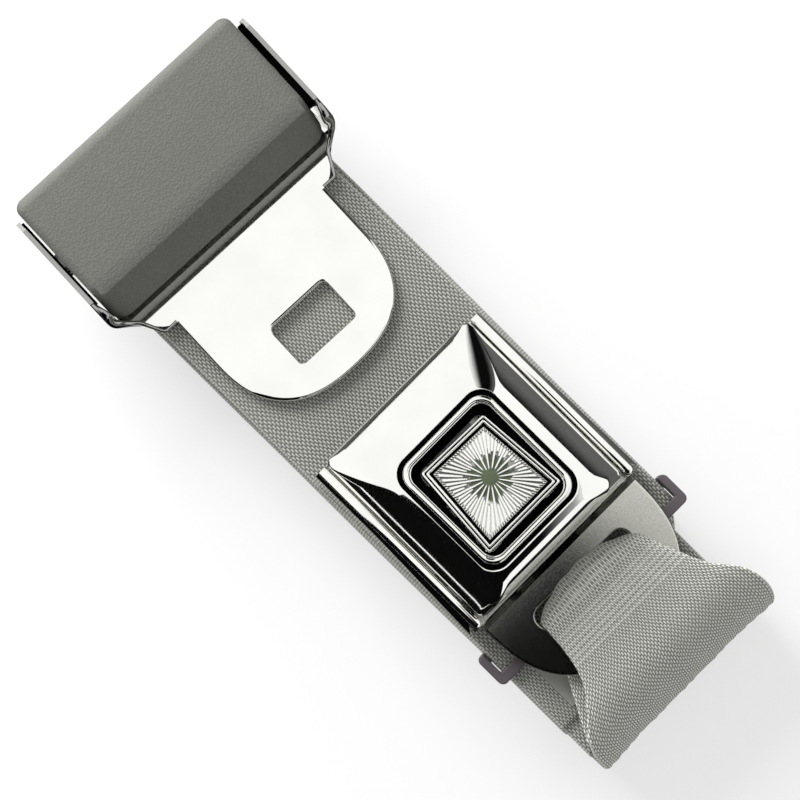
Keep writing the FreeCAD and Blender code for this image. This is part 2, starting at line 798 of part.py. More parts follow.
def buckle_frame():
    """Load-bearing plate: floor, joggle and D-plate with the strap slot, two ears and two spring lugs."""
    rise = d_plate_z - frame_z
    mid = frame_thickness / 2
    far = d_plate_centre_x + d_plate_end_radius
    path = [
        (mouth_x + frame_front_gap, frame_z + mid),
        (joggle_x - joggle_length / 2 - 0.2, frame_z + mid),
        (joggle_x + joggle_length / 2 + 0.2, d_plate_z + mid),
        (far + 5.0, d_plate_z + mid),
    ]
    plate = strip(path, [1.6, 1.6], frame_thickness, housing_width)
    floor_half = housing_width / 2 - housing_bend - bar_clearance
    floor_front = mouth_x + frame_front_gap
    d_half = d_plate_width / 2
    straight = d_plate_centre_x + math.sqrt(d_plate_end_radius**2 - d_half**2)
    tip = v(far, 0, 0)
    edges = [
        Part.LineSegment(v(mouth_x + frame_front_gap, -floor_half, 0), v(joggle_x, -floor_half, 0)),
        Part.LineSegment(v(joggle_x, -floor_half, 0), v(joggle_x, -d_half, 0)),
        Part.LineSegment(v(joggle_x, -d_half, 0), v(straight, -d_half, 0)),
        Part.Arc(v(straight, -d_half, 0), tip, v(straight, d_half, 0)),
        Part.LineSegment(v(straight, d_half, 0), v(joggle_x, d_half, 0)),
        Part.LineSegment(v(joggle_x, d_half, 0), v(joggle_x, floor_half, 0)),
        Part.LineSegment(v(joggle_x, floor_half, 0), v(floor_front, floor_half, 0)),
        Part.LineSegment(v(floor_front, floor_half, 0), v(floor_front, -floor_half, 0)),
    ]
    outline = Part.Face(Part.Wire([e.toShape() for e in edges])).extrude(v(0, 0, rim_top_z))
    plate = plate.common(outline)
    slot = rectangle(strap_slot_x, bar_inner_x, strap_slot_length / 2)
    corners = [strap_slot_corner, slot_bar_corner, slot_bar_corner, strap_slot_corner]
    plate = plate.cut(plan_prism(slot, corners, d_plate_z - 2.0, d_plate_top + 2.0))
    key_half = ejector_key_width / 2 + ejector_key_clearance
    through = (frame_z - 1, frame_top + 1)
    plate = plate.cut(box(ejector_slot_front, ejector_slot_rear, -key_half, key_half, *through))
    for foot in cover_feet():
        plate = plate.cut(foot)

    ears = []
    ear_inside = frame_ear_spread / 2 - frame_ear_thickness
    ear_outside = frame_ear_spread / 2
    ear_top = pivot_z + pin_radius + frame_ear_above_pin
    ear_half = frame_ear_length / 2
    for side in (-1, 1):
        y0, y1 = sorted((side * ear_inside, side * ear_outside))
        ear_profile = [
            (pivot_x - ear_half, frame_z),
            (pivot_x + ear_half, frame_z),
            (pivot_x + ear_half, ear_top),
            (pivot_x - ear_half, ear_top),
        ]
        ears.append(side_prism(ear_profile, [0.0, 0.0, 2.0, 2.0], y0, y1))
        y0, y1 = sorted((side * ear_outside, side * (ear_outside + frame_ear_blank)))
        plate = plate.cut(box(pivot_x - ear_half, pivot_x + ear_half, y0, y1, frame_z - 1, frame_top + 1))
        spring_y = side * ejector_spring_spread / 2
        y0, y1 = spring_y - spring_lug_half, spring_y + spring_lug_half
        lug_front = ejector_spring_rear_x
        lug_rear = lug_front + spring_lug_thickness
        ears.append(box(lug_front, lug_rear, y0, y1, frame_top - 0.2, frame_top + spring_lug_height))
        plate = plate.cut(box(lug_rear, lug_rear + spring_lug_height, y0, y1, frame_z - 1, frame_top + 1))
    plate = plate.fuse(ears)
    plate = plate.cut(cross_cylinder(pin_radius + pin_clearance, pivot_x, pivot_z, frame_ear_spread))
    return plate.removeSplitter()


def rim_loop(front, rear, half, corner, z0, z1):
    return plan_prism(rectangle(front, rear, half), [corner] * 4, z0, z1)


def loft_between(low, high):
    return Part.makeLoft([low.OuterWire, high.OuterWire], True, True)


def cover_block(inset):
    """The cover's outside as a solid, or its inside when set in by the sheet: skirt and sloping hood."""
    def face(front, rear, half, corner, z):
        points = rectangle(front, rear, half)
        return rounded_face(points, [corner] * 4, lambda x, y: v(x, y, z))

    def base(z):
        corner = max(cover_base_corner - inset, 0.4)
        return face(mouth_x + inset, cover_rear_x - inset, cover_half - inset, corner, z)

    lean = inset * cover_lean
    high_corner = max(cover_top_corner - lean, 1.0)
    high_front = rim_front_x + lean * cover_front_lean
    high = face(high_front, rim_rear_x - lean, rim_half - lean, high_corner, cover_top_z - inset)
    skirt = base(cover_z).extrude(v(0, 0, cover_skirt))
    return skirt.fuse(loft_between(base(cover_shoulder_z), high))


def buckle_cover():
    """Chrome hood: four slopes up to a rolled rim round the button well, with four feet below."""
    shell = cover_block(0.0).cut(cover_block(cover_sheet))
    inside_half = cover_half - cover_sheet
    inside_rear = cover_rear_x - cover_sheet
    below = box(mouth_x + cover_sheet, inside_rear, -inside_half, inside_half, 0, cover_z + 0.5)
    shell = shell.cut(below)
    well = rim_width
    inner_corner = cover_top_corner - well * 0.5
    inner_front = rim_front_x + well
    inner_rear = rim_rear_x - well
    opening = rim_loop(inner_front, inner_rear, rim_half - well, inner_corner, cover_z, rim_top_z + 1)
    shell = shell.cut(opening)
    bead = rim_loop(rim_front_x, rim_rear_x, rim_half, cover_top_corner, bezel_top + lie_gap, rim_top_z)
    bead = bead.cut(opening)
    tuck = rim_tuck
    low_corner = cover_top_corner - 0.8
    low_top = cover_top_z - 0.6
    lower = rim_loop(
        rim_front_x + tuck, rim_rear_x - tuck, rim_half - tuck, low_corner, cover_z, low_top
    )
    bead_low = bead.common(lower)
    high = (cover_top_z - 0.7, rim_top_z + 1)
    bead_high = bead.common(box(mouth_x, cover_rear_x, -rim_half, rim_half, *high))
    tops = [e for e in bead_high.Edges if e.BoundBox.ZMin > rim_top_z - 0.01]
    bead_high = bead_high.makeFillet(rim_height * 0.9, tops)
    feet = []
    for x in cover_foot_places:
        for side in (-1, 1):
            y0, y1 = sorted((side * (cover_half - cover_sheet), side * cover_half))
            feet.append(box(x, x + cover_foot_length, y0, y1, frame_z + lie_gap, cover_z + 1.0))
    return shell.fuse([bead_low, bead_high] + feet).removeSplitter()


def button_outline(grow):
    """The button's outline, wider towards the rear, grown or shrunk all round."""
    front = button_front_x - grow
    rear = button_front_x + button_length + grow
    lean = math.hypot(1.0, button_taper)
    front_half = button_front_width / 2 + (front - button_front_x) * button_taper + grow * lean
    rear_half = front_half + (rear - front) * button_taper
    return [(front, -front_half), (rear, -rear_half), (rear, rear_half), (front, front_half)]


def button_prism(grow, z0, z1):
    corner = max(button_corner + grow, 0.4)
    return plan_prism(button_outline(grow), [corner] * 4, z0, z1)


def button_bezel():
    """Black liner of the well: a ledge round the button and a collar that the rolled rim holds."""
    front = rim_front_x + bezel_tuck
    rear = rim_rear_x - bezel_tuck
    half = rim_half - bezel_side_tuck
    plate = rim_loop(front, rear, half, cover_top_corner - bezel_side_tuck, bezel_z, bezel_top)
    return plate.cut(button_prism(button_gap, bezel_z - 1, bezel_top + 1))


def push_button():
    """Hollow stepped button with a pocket for the insert, a retaining flange and a round foot."""
    body = button_prism(0.0, button_flange_z, button_top - button_step_height)
    step = button_prism(-button_step, button_top - button_step_height, button_top)
    flange = button_prism(button_flange, button_flange_z, button_flange_top)
    button = body.fuse([step, flange])
    button = button.cut(button_prism(-button_wall, button_flange_z - 1, button_ceiling))
    pocket_floor = button_top - insert_thickness + insert_sink
    button = button.cut(button_prism(-insert_inset, pocket_floor, button_top + 1))
    near_front = button_front_x + insert_inset - 0.3
    near_rear = button_front_x + button_length - insert_inset + 0.3
    outer = []
    for edge in button.Edges:
        bounds = edge.BoundBox
        on_top = bounds.ZLength < 0.01 and abs(bounds.ZMin - button_top) < 0.01
        if on_top and (bounds.XMin < near_front or bounds.XMax > near_rear):
            outer.append(edge)
    button = button.makeFillet(button_edge_round, outer)
    clear = button_travel + lie_gap
    arch_radius = lever_hub_radius + 0.6
    arch_top = pivot_z + lever_hub_radius + clear
    arch = [
        (pivot_x - arch_radius, button_flange_z - 1),
        (pivot_x + arch_radius, button_flange_z - 1),
        (pivot_x + arch_radius, arch_top),
        (pivot_x - arch_radius, arch_top),
    ]
    button = button.cut(side_prism(arch, [0.0, 0.0, 1.5, 1.5], -button_rear_width, button_rear_width))
    lever_half = lever_width / 2 + 0.6
    button = button.cut(
        box(
            button_front_x - 3,
            button_front_x + button_wall + 1,
            -lever_half,
            lever_half,
            button_flange_z - 1,
            button_ceiling,
        )
    )
    foot_half = lever_width / 2 - 0.4
    foot = cross_cylinder(foot_radius, foot_x, foot_z + foot_radius, foot_half)
    rib = box(
        foot_x - foot_radius,
        button_front_x + button_length - 0.4,
        -foot_half,
        foot_half,
        foot_z + foot_radius,
        button_ceiling + 0.3,
    )
    return button.fuse([foot, rib.common(button_prism(-0.2, foot_z, button_top))]).removeSplitter()


def button_insert():
    """Plate in the button's pocket."""
    gap = 0.05
    floor = button_top - insert_thickness + insert_sink
    return button_prism(-insert_inset - gap, floor, floor + insert_thickness)


def latch_lever():
    """Pressed lever: hooked tooth at the front, pin hubs in the middle, arm under the button's foot."""
    half = lever_width / 2
    tooth_rear = lever_front_x + tooth_length
    tooth_z = frame_top + tooth_clear_of_floor
    profile = [
        (lever_front_x, lever_top - lever_droop),
        (lever_front_x, lever_z - 0.4),
        (lever_front_x + tooth_ramp, tooth_z),
        (tooth_rear, tooth_z),
        (tooth_rear, lever_z),
        (lever_rear_x, lever_z + 0.4),
        (lever_rear_x, lever_top + lever_step),
        (pivot_x + 5.0, lever_top + lever_step),
        (pivot_x - 4.0, lever_top - lever_droop),
    ]
    plate = side_prism(profile, [0.8, 0.5, 0.5, 0.4, 1.0, 0.6, 0.6, 2.0, 2.0], -half, half)
    window = rectangle(pivot_x - lever_window_front, pivot_x + lever_window_rear, spring_gap_half)
    hub_half = frame_ear_spread / 2 - frame_ear_thickness - lie_gap
    hub = cross_cylinder(lever_hub_radius, pivot_x, pivot_z, hub_half)
    lever = plate.fuse(hub)
    lever = lever.cut(plan_prism(window, [1.0] * 4, frame_z, button_top))
    lever = lever.cut(cross_cylinder(pin_radius + pin_clearance, pivot_x, pivot_z, half + 20))
    return lever.removeSplitter()


def latch_pin():
    """Pin through the frame's ears and the lever's hubs, upset to a low head at each end."""
    half = frame_ear_spread / 2 + 0.1
    pin = cross_cylinder(pin_radius, pivot_x, pivot_z, half + pin_head_thickness)
    heads = cross_cylinder(pin_head_radius, pivot_x, pivot_z, half + pin_head_thickness)
    heads = heads.cut(cross_cylinder(2 * pin_head_radius, pivot_x, pivot_z, half))
    return pin.fuse(heads).removeSplitter()


def latch_spring():
    """Torsion spring round the pin, one leg on the lever's front arm and one on the frame's floor."""
    wire = torsion_wire / 2
    length = torsion_turns * (torsion_wire + 0.05)
    body = coil(torsion_radius, wire, torsion_turns, length, v(pivot_x, -length / 2, pivot_z), v(0, 1, 0))
    ends = []
    top = pivot_z + torsion_radius
    front = lever_front_x + tooth_length + 2.0
    lever_rest = lever_top - lever_droop + wire + 0.05
    ends.append(rod(v(pivot_x, length / 2, top), v(front, length / 2, lever_rest), wire))
    low = pivot_z - torsion_radius
    far = pivot_x + 10.0
    ends.append(rod(v(pivot_x, -length / 2, low), v(far, -length / 2, frame_top + wire + 0.05), wire))
    return Part.makeCompound([body] + ends)


def rod(start, end, radius):
    return Part.makeCylinder(radius, (end - start).Length, start, end - start)


def ejector():
    """Sprung slide that pushes the tongue out: hollow-fronted block, spring spigots and a guide key."""
    half = ejector_width / 2
    rear = ejector_rear_x
    floor = frame_top + lie_gap / 2
    outline = [
        (ejector_front_x + ejector_nose, -half),
        (rear, -half),
        (rear, half),
        (ejector_front_x + ejector_nose, half),
        (ejector_front_x, ejector_nose_half),
        (ejector_front_x, -ejector_nose_half),
    ]
    block = plan_prism(outline, [1.0, 1.0, 1.0, 1.0, 3.0, 3.0], floor, floor + ejector_height)
    key = box(
        ejector_front_x + ejector_key_set_back,
        rear,
        -ejector_key_width / 2,
        ejector_key_width / 2,
        frame_z + 0.2,
        floor + 0.5,
    )
    spigots = []
    spigot_radius = ejector_spring_radius - ejector_spring_wire / 2 - 0.15
    for side in (-1, 1):
        start = v(rear - 0.5, side * ejector_spring_spread / 2, ejector_spring_z)
        spigots.append(Part.makeCylinder(spigot_radius, 2.2, start, v(1, 0, 0)))
    return block.fuse([key] + spigots).removeSplitter()


def ejector_springs():
    """Two compression springs between the ejector and the frame's lugs."""
    springs = []
    wire = ejector_spring_wire / 2
    length = ejector_spring_length - ejector_spring_wire
    front = ejector_rear_x + wire + 0.1
    for side in (-1, 1):
        start = v(front, side * ejector_spring_spread / 2, ejector_spring_z)
        springs.append(coil(ejector_spring_radius, wire, ejector_spring_turns, length, start, v(1, 0, 0)))
    return Part.makeCompound(springs)


def buckle_webbing():
    """Strap of the buckle half: sewn through the D-plate, round the end of the pack, to its own anchor."""
    loop_radius = (strap_upper_z - strap_lower_z) / 2
    loop_x = bar_inner_x + 0.6 - loop_radius
    anchor_radius = (anchor_upper_z - ground_z) / 2
    anchor_x = buckle_anchor_bar_x - anchor_bar + 0.6 - anchor_radius
    points = [
        (strap_lower_end_x, strap_lower_z),
        (loop_x, strap_lower_z),
        (loop_x, strap_upper_z),
        (fold_x + fold_radius, strap_upper_z),
        (fold_x + fold_radius, ground_z),
        (anchor_x, ground_z),
        (anchor_x, anchor_upper_z),
        (buckle_anchor_bar_x + strap_drop_start, anchor_upper_z),
        (buckle_anchor_bar_x + strap_drop_end, ground_z + pitch),
        (buckle_anchor_bar_x + strap_sewn_end, ground_z + pitch),
    ]
    radii = [loop_radius, loop_radius, fold_radius, fold_radius, anchor_radius, anchor_radius, 3.0, 3.0]
    band = strip(points, radii, webbing_thickness, webbing_width / 2)
    slot_half = strap_slot_length / 2 - 1.0
    full = webbing_width / 2
    flare = [
        (loop_x - 4.0, slot_half),
        (bar_inner_x + 1.5, slot_half),
        (fold_x - 1.5, slot_half + 7.0),
        (fold_x + 4.0, full - 0.6),
        (fold_x + 7.0, full),
        (fold_x + 8.0, full),
    ]
    band = band.cut(outside_of(flare, tail_top, rim_top_z))
    gather = [
        (anchor_x - 9.0, anchor_loop_half),
        (buckle_anchor_bar_x + strap_drop_start, anchor_loop_half),
        (buckle_anchor_bar_x + strap_full_from, full),
        (buckle_anchor_bar_x + strap_full_from + 1.0, full),
    ]
    return band.cut(outside_of(gather, -1.0, anchor_top + 1.7))


def write(name, shape):
    shape = shape.copy()
    shape.translate(v(pack_shift, 0, 0))
    if not shape.isValid():
        raise ValueError(name + " is not a valid solid")
    shape.exportStep("parts/" + name + ".step")
    print(name, len(shape.Solids), "solids", round(shape.Volume, 2), "mm3")


def main():
    os.makedirs("parts", exist_ok=True)
    write("tongue_plate", tongue_plate())
    write("adjuster_bar", adjuster_bar())
    write("adjuster_cap", adjuster_cap())
    write("tongue_webbing", tongue_webbing())
    write("webbing_label", webbing_label())
    write("webbing_keeper", webbing_keeper())
    write("tongue_anchor_plate", anchor_plate(tongue_anchor_bar_x))
    write("buckle_housing", buckle_housing())
    write("buckle_frame", buckle_frame())
    write("buckle_cover", buckle_cover())
    write("button_bezel", button_bezel())
    write("push_button", push_button())
    write("button_insert", button_insert())
    write("latch_lever", latch_lever())
    write("latch_pin", latch_pin())
    write("latch_spring", latch_spring())
    write("ejector", ejector())
    write("ejector_springs", ejector_springs())
    write("buckle_webbing", buckle_webbing())
    write("buckle_anchor_plate", anchor_plate(buckle_anchor_bar_x))


main()
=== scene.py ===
import math

import bmesh
import bpy
import numpy as np
from bpy.props import FloatProperty, FloatVectorProperty, IntProperty, PointerProperty
from mathutils import Matrix, Vector


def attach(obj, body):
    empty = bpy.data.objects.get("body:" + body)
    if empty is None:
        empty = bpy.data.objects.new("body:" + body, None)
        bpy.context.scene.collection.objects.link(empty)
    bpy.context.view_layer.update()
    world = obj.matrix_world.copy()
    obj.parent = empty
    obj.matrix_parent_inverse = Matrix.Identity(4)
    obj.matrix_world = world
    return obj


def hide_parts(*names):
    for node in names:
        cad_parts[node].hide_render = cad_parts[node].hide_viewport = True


bl_info = {
    "name": "Lap belt",
    "version": (1, 0, 0),
    "blender": (4, 5, 0),
    "location": "View3D > Sidebar > Lap belt",
    "description": "Builds the surfaces and finishes of a folded two-piece lap belt round its packed solids",
    "category": "Add Mesh",
}

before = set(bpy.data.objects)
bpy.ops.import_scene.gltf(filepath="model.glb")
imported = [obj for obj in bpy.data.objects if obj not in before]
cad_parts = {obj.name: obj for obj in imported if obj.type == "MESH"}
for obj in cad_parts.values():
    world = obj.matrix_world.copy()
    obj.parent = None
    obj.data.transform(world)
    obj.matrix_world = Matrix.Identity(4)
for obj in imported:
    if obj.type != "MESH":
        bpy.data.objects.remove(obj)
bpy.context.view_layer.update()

# Shapes are worked out in millimetres on the belt's own axes and put into the frame by place().
MILLIMETRE = 0.001
BELT_SHIFT = -0.125

# Levels and places that the solids give, in millimetres
WEB_HALF = 0.6
WEB_PITCH = 1.5
GROUND_Z = 0.6
ANCHOR_UPPER_Z = 5.4
SHORT_END_X = 20.0
SHORT_END_Z = 6.9
FIRST_RUN_Z = 8.4
FOLDED_RUNS = 5
TAIL_Z = 19.2
OVER_BAR_Z = 23.2
WRAP_TOP_Z = 31.6
WRAP_REAR_X = -77.2
WRAP_RISE_X = (-73.2, -72.0)
WRAP_DROP_X = -60.6
PACK_RIGHT = 72.0
PACK_LEFT = -76.0
TAIL_END = 78.5
HEM_LENGTH = 8.0
TONGUE_ANCHOR_X = -37.0
RAMP_X = (-25.0, -9.0)
STRAP_LOWER_Z = 22.8
STRAP_UPPER_Z = 26.6
STRAP_TIP_X = 76.6
STRAP_LOOP_X = 54.4
STRAP_END_X = 83.45
BUCKLE_ANCHOR_X = 30.0
STRAP_RAMP_X = (41.0, 49.0)
STRAP_SHORT_END_X = 70.0
HOOD_FRONT = -2.0
HOOD_REAR = 42.8
HOOD_HALF = 20.5
HOOD_BASE_Z = 27.9
HOOD_SHOULDER_Z = 30.8
HOOD_TOP_Z = 38.4
FRONT_SLOPE = 10.7
REAR_SLOPE = 4.3
SIDE_SLOPE = 7.2
BUTTON_TOP_Z = 38.4
BUTTON_OUTLINE = ((34.3, 10.2), (13.8, 8.75), (13.3, -8.5), (34.3, -10.2))
PLATE_LOW_Z = 20.1
PLATE_TOP_Z = 22.3
FLANGE_HALF = 31.2
WALL = 0.95
GAP_LOW_Z = 24.0

# How the tongue half lies, the plan of the tongue and its window, and where the plate's parts are cut
TONGUE_PIVOT_X = -49.0
TONGUE_SHIFT_Y = -0.3
TONGUE_HALF = 20.5
TONGUE_SIDE_X = -31.0
TONGUE_TIP_X = -11.4
TONGUE_POWER = 2.45
NECK_X = -42.8
FLOOR_REAR_X = -54.2
FLANGE_CUT_X = -56.6
WINDOW_REAR_X = -28.9
WINDOW_FRONT_X = -19.0
WINDOW_HALF = 7.6

# Black strips in the gaps inside the flanges, a painted shadow where there is only the shade of the gap: the
# inner edge by side, the outer edge, and the stretch in x and z
SHADOW_STRIP_INNER_Y = {1: 29.0, -1: 29.75}
SHADOW_STRIP_OUTER_Y = 30.35
SHADOW_STRIP_X = (-78.2, -56.9)
SHADOW_STRIP_Z = (23.6, 30.3)

# The D-plate and its slot, and where the frame is cut for it
D_PLATE_CUT_X = 45.9
D_PLATE_BACK_X = 45.2
D_PLATE_SIDE_X = 46.1
D_PLATE_TIP_X = 68.9
D_PLATE_HALF = 21.7
D_PLATE_POWER = 2.5
D_PLATE_CENTRE_Y = 0.2
D_PLATE_LOW_Z = 23.7
D_PLATE_TOP_Z = 25.72
SLOT_REAR_X = 49.4
SLOT_FRONT_X = 54.5
SLOT_HALF = 13.0

# The hood's rear slope, its rim as inset and height, and the black strip in the groove outside the rim, which
# is painted shade of that groove
REAR_DROP = 3.6
REAR_POWER = 2.2
RIM_BEAD = (
    (0.05, 38.36), (0.11, 38.24), (0.14, 38.0), (0.15, 37.6), (0.2, 37.4), (0.9, 37.4), (0.96, 37.6),
    (0.98, 38.3), (1.02, 38.62), (1.11, 38.86), (1.25, 39.05), (1.43, 39.16), (1.62, 39.2), (1.81, 39.16),
    (1.98, 39.04), (2.1, 38.86), (2.17, 38.6), (2.24, 38.42), (2.36, 38.33), (2.48, 38.2), (2.55, 37.98),
    (2.58, 37.6), (2.58, 36.75), (2.2, 36.68), (1.7, 36.68),
)
GROOVE_INSET = (0.2, 0.93)
GROOVE_Z = (37.45, 37.8)

# The button's frame and black body as inset and depth below the top, and its insert
FRAME_STEPS = (
    (0.1, 1.7), (0.0, 1.5), (0.0, 0.3), (0.05, 0.1), (0.16, 0.0), (0.34, 0.0), (0.42, 0.05), (0.44, 0.15),
    (0.74, 0.15), (0.76, 0.05), (0.84, 0.0), (1.05, 0.0), (1.17, 0.08), (1.22, 0.25), (1.24, 1.0), (1.1, 1.6),
)
BLOCK_STEPS = (
    (0.35, 4.5), (0.2, 4.4), (0.2, 1.1), (0.3, 1.1), (0.3, 0.13), (0.9, 0.13), (0.9, 1.1), (2.6, 1.1),
)
INSERT_INSET = 1.8
INSERT_MIDDLE = (23.8, 0.75)
INSERT_DEPTH = 0.14
INSERT_EDGE_DEPTH = 0.45
INSERT_UNDER_DEPTH = 1.2
BEAD_PITCH = 0.6
BEAD_FOOT_DEPTH = 0.42
BEAD_RISE = 0.4
# The angle round the insert, in radians, at which the painted dark reflection in the outer hollows is
# strongest
PAINTED_REFLECTION_ANGLE = 0.785

# Rays of the insert: how far from the middle the rays and the paint begin and end, each as a least distance
# and what chance adds to it, and the factors that scatter() takes for them
POINTS_PER_RAY = 14
FULL_RAY_EVERY = 3
FULL_RAY_START = (1.45, 0.4)
SHORT_RAY_START = (3.7, 1.9)
PAINT_END = (4.3, 1.6)
RAY_SCATTER = (12.9898, 43758.5453)
PAINT_SCATTER = (78.233, 12543.123)

# Moves of the cap's top edge, rear and -Y side, the lean of the housing's foot and the webbing's turned wrap
CAP_TOP_EDGE_X = (-58.5, -56.5)
CAP_TOP_ABOVE_Z = 34.0
CAP_TOP_MOVE = 1.9
CAP_REAR_X = -72.0
CAP_REAR_LENGTH = 11.2
CAP_REAR_MOVE = 1.4
CAP_SIDE_GROWTH = 1.022
FOOT_OUTSIDE_Y = 21.9
FOOT_BELOW_Z = 27.0
FOOT_LEAN = 1.2
WRAP_TURN_X = -62.0
WRAP_TURN_LENGTH = 14.0
WRAP_TURN_Z = 15.9
WRAP_TURN_RISE = 1.5

# Where the webbing narrows towards the strap's fold, and the places in x for the tail's edges
NARROWING_X = (53.9, 55.9)
TAIL_STATIONS = (-58.0, -41.0, -2.6, 44.0) + NARROWING_X

# The gathered strap's edges on top as x, the +Y edge and the -Y edge, and places in x for those below
STRAP_EDGES = (
    (48.0, 12.9, -12.2), (51.0, 14.0, -12.6), (54.6, 14.9, -12.8), (56.4, 15.6, -12.9), (60.4, 17.0, -13.3),
    (64.5, 18.7, -14.2), (68.2, 20.3, -16.0), (70.6, 22.7, -18.2), (72.6, 24.3, -20.3), (75.7, 25.6, -22.9),
    (78.7, 26.1, -24.3), (81.3, 25.6, -24.2), (82.6, 24.8, -23.6), (83.4, 23.9, -22.9),
)
STRAP_LOW_STATIONS = (57.0, 60.0, 72.0, 80.0)

# Weave: where the selvage begins and its ribs in millimetres, and the first, last and pitch of the ridges
SELVAGE_AT = 24.6
SELVAGE_RIB = 0.7
SEWN_RIDGES = (28.8, 36.4, 1.28)
# Colour of the painted dark reflection and painted shade on the insert
PAINTED_REFLECTION_DARK = (0.012, 0.012, 0.011)
WHITE = (1.0, 1.0, 1.0, 1.0)

# The stage in metres, and the camera in degrees, millimetres and pixels
FLOOR_REACH = 4.0
FLOOR_GLOW = 0.6
FILL_STRENGTH = 0.50
LAMP_SIZE = (0.5, 0.6)
LAMP_WATTS = 12.0
LAMP_PLACE = (-0.80, 0.08, 0.42)
BOARD_SHADE = 0.004
CAMERA_ANGLES = (-69.4, 87.56, 24.1)
CAMERA_DISTANCE = 800.0
CAMERA_TARGET = (-0.3 + BELT_SHIFT, -0.2, 20.0)
PIXELS_PER_MM = 4.881
PICTURE_SIDE = 800
SENSOR_WIDTH = 36.0


def linear(code):
    """A colour written as six hex digits, as linear red, green and blue."""
    parts = [int(code[i:i + 2], 16) / 255 for i in (0, 2, 4)]
    return tuple(p / 12.92 if p <= 0.04045 else ((p + 0.055) / 1.055) ** 2.4 for p in parts)


def length(name, text, default, low=0.0):
    return FloatProperty(name=name, description=text, default=default, min=low, unit="NONE")


def colour(name, text, code):
    return FloatVectorProperty(
        name=name, description=text, subtype="COLOR", size=3, min=0.0, max=1.0, default=linear(code)
    )


class LapBeltSizes(bpy.types.PropertyGroup):
    webbing_width: length("Webbing width", "Width of the webbing in millimetres", 50.0, 10.0)
    webbing_thickness: length("Webbing thickness", "Thickness of the webbing in millimetres", 1.2, 0.4)
    weave_length: length("Weave length", "Length of one raised thread in millimetres", 1.35, 0.2)
    weave_width: length("Weave width", "Distance between the rows of threads in millimetres", 0.52, 0.2)
    tongue_turn: length("Tongue turn", "How far the tongue half lies out of line, in degrees", 2.6)
    hood_crown: length("Hood crown", "How rounded the hood's slopes are, where 1 is flat", 1.38, 1.0)
    grain_size: length("Grain size", "Size of the moulded grain on the cap in millimetres", 0.5, 0.1)
    flute_count: IntProperty(name="Flutes", description="Number of rays on the insert", default=60, min=8)
    flute_depth: length("Flute depth", "Depth of the rays on the insert in millimetres", 0.34, 0.0)


class LapBeltColours(bpy.types.PropertyGroup):
    webbing_light: colour("Webbing light", "Raised threads of the webbing", "cdcec6")
    webbing_dark: colour("Webbing dark", "Gaps between the threads", "41423d")
    cap: colour("Cap", "Moulded cap", "72736d")
    keeper: colour("Keeper", "Moulded keeper", "5f585c")
    label: colour("Label", "Smooth patch on the tail", "b3b5ac")
    chrome: colour("Chrome", "Polished plating", "fdfdf9")
    zinc: colour("Zinc", "Plating of the frame", "b4b4ad")
    steel: colour("Steel", "Plain steel inside the buckle", "8d8e8d")
    black: colour("Black", "Black plastic round the button", "070707")
    fill: colour("Insert fill", "Paint between the rays of the insert", "56614a")
    floor: colour("Floor", "Floor under the belt", "ffffff")


def sizes():
    return bpy.context.scene.lap_belt_sizes


def colours():
    return bpy.context.scene.lap_belt_colours


# Mesh tools


def place(points):
    """Belt millimetres as frame metres."""
    moved = np.asarray(points, float) * MILLIMETRE
    moved[..., 0] += BELT_SHIFT * MILLIMETRE
    return moved


def linked(name, data):
    """A new object in the scene."""
    made = bpy.data.objects.new(name, data)
    bpy.context.scene.collection.objects.link(made)
    return made


def mesh_object(name, vertices, faces, loop_uv=None):
    mesh = bpy.data.meshes.new(name)
    mesh.from_pydata(vertices.tolist(), [], faces)
    mesh.polygons.foreach_set("use_smooth", [True] * len(faces))
    if loop_uv is not None:
        layer = mesh.uv_layers.new(name="weave")
        layer.data.foreach_set("uv", loop_uv.astype(np.float32).ravel())
    mesh.update()
    return linked(name, mesh)


def signed_volume(vertices, faces):
    """Six times the volume inside closed faces, positive when they point outwards."""
    total = 0.0
    by_size = {}
    for face in faces:
        by_size.setdefault(len(face), []).append(face)
    for size, group in by_size.items():
        index = np.array(group)
        first = vertices[index[:, 0]]
        for k in range(1, size - 1):
            total += float((first * np.cross(vertices[index[:, k]], vertices[index[:, k + 1]])).sum())
    return total


def lattice(name, grid, uv=None, wrap_rows=False):
    """A closed skin over a grid of points, rows by columns. The columns close on themselves.

    Neighbouring rows and columns are joined by four-sided faces. The rows either close on themselves too,
    or the first and last are closed by a cap. uv has one more column than the grid.
    """
    rows, columns = grid.shape[:2]
    i, j = np.meshgrid(np.arange(rows if wrap_rows else rows - 1), np.arange(columns), indexing="ij")
    row, next_row = i * columns, (i + 1) % rows * columns
    next_j = (j + 1) % columns
    faces = np.stack([row + j, next_row + j, next_row + next_j, row + next_j], -1).reshape(-1, 4).tolist()
    loop_uv = None
    if uv is not None:
        loop_uv = np.stack([uv[i, j], uv[i + 1, j], uv[i + 1, j + 1], uv[i, j + 1]], 2).reshape(-1, 2)
    if not wrap_rows:
        faces.append(list(range(columns))[::-1])
        faces.append([(rows - 1) * columns + k for k in range(columns)])
        if uv is not None:
            loop_uv = np.concatenate([loop_uv, uv[0, :-1][::-1], uv[-1, :-1]])
    vertices = place(grid.reshape(-1, 3))
    if signed_volume(vertices, faces) < 0:
        faces = [face[::-1] for face in faces]
        if loop_uv is not None:
            corners = [len(face) for face in faces]
            starts = np.concatenate([[0], np.cumsum(corners)[:-1]])
            loop_uv = loop_uv[np.concatenate([np.arange(s, s + n)[::-1] for s, n in zip(starts, corners)])]
    return mesh_object(name, vertices, faces, loop_uv)


def mark_sharp(work, degrees):
    """Marks the edges whose faces meet at more than this angle as sharp."""
    for edge in work.edges:
        edge.smooth = len(edge.link_faces) == 2 and edge.calc_face_angle(0.0) < math.radians(degrees)


def crease(mesh, degrees=32.0):
    """Marks a finished mesh's sharp edges."""
    work = bmesh.new()
    work.from_mesh(mesh)
    mark_sharp(work, degrees)
    work.to_mesh(mesh)
    work.free()


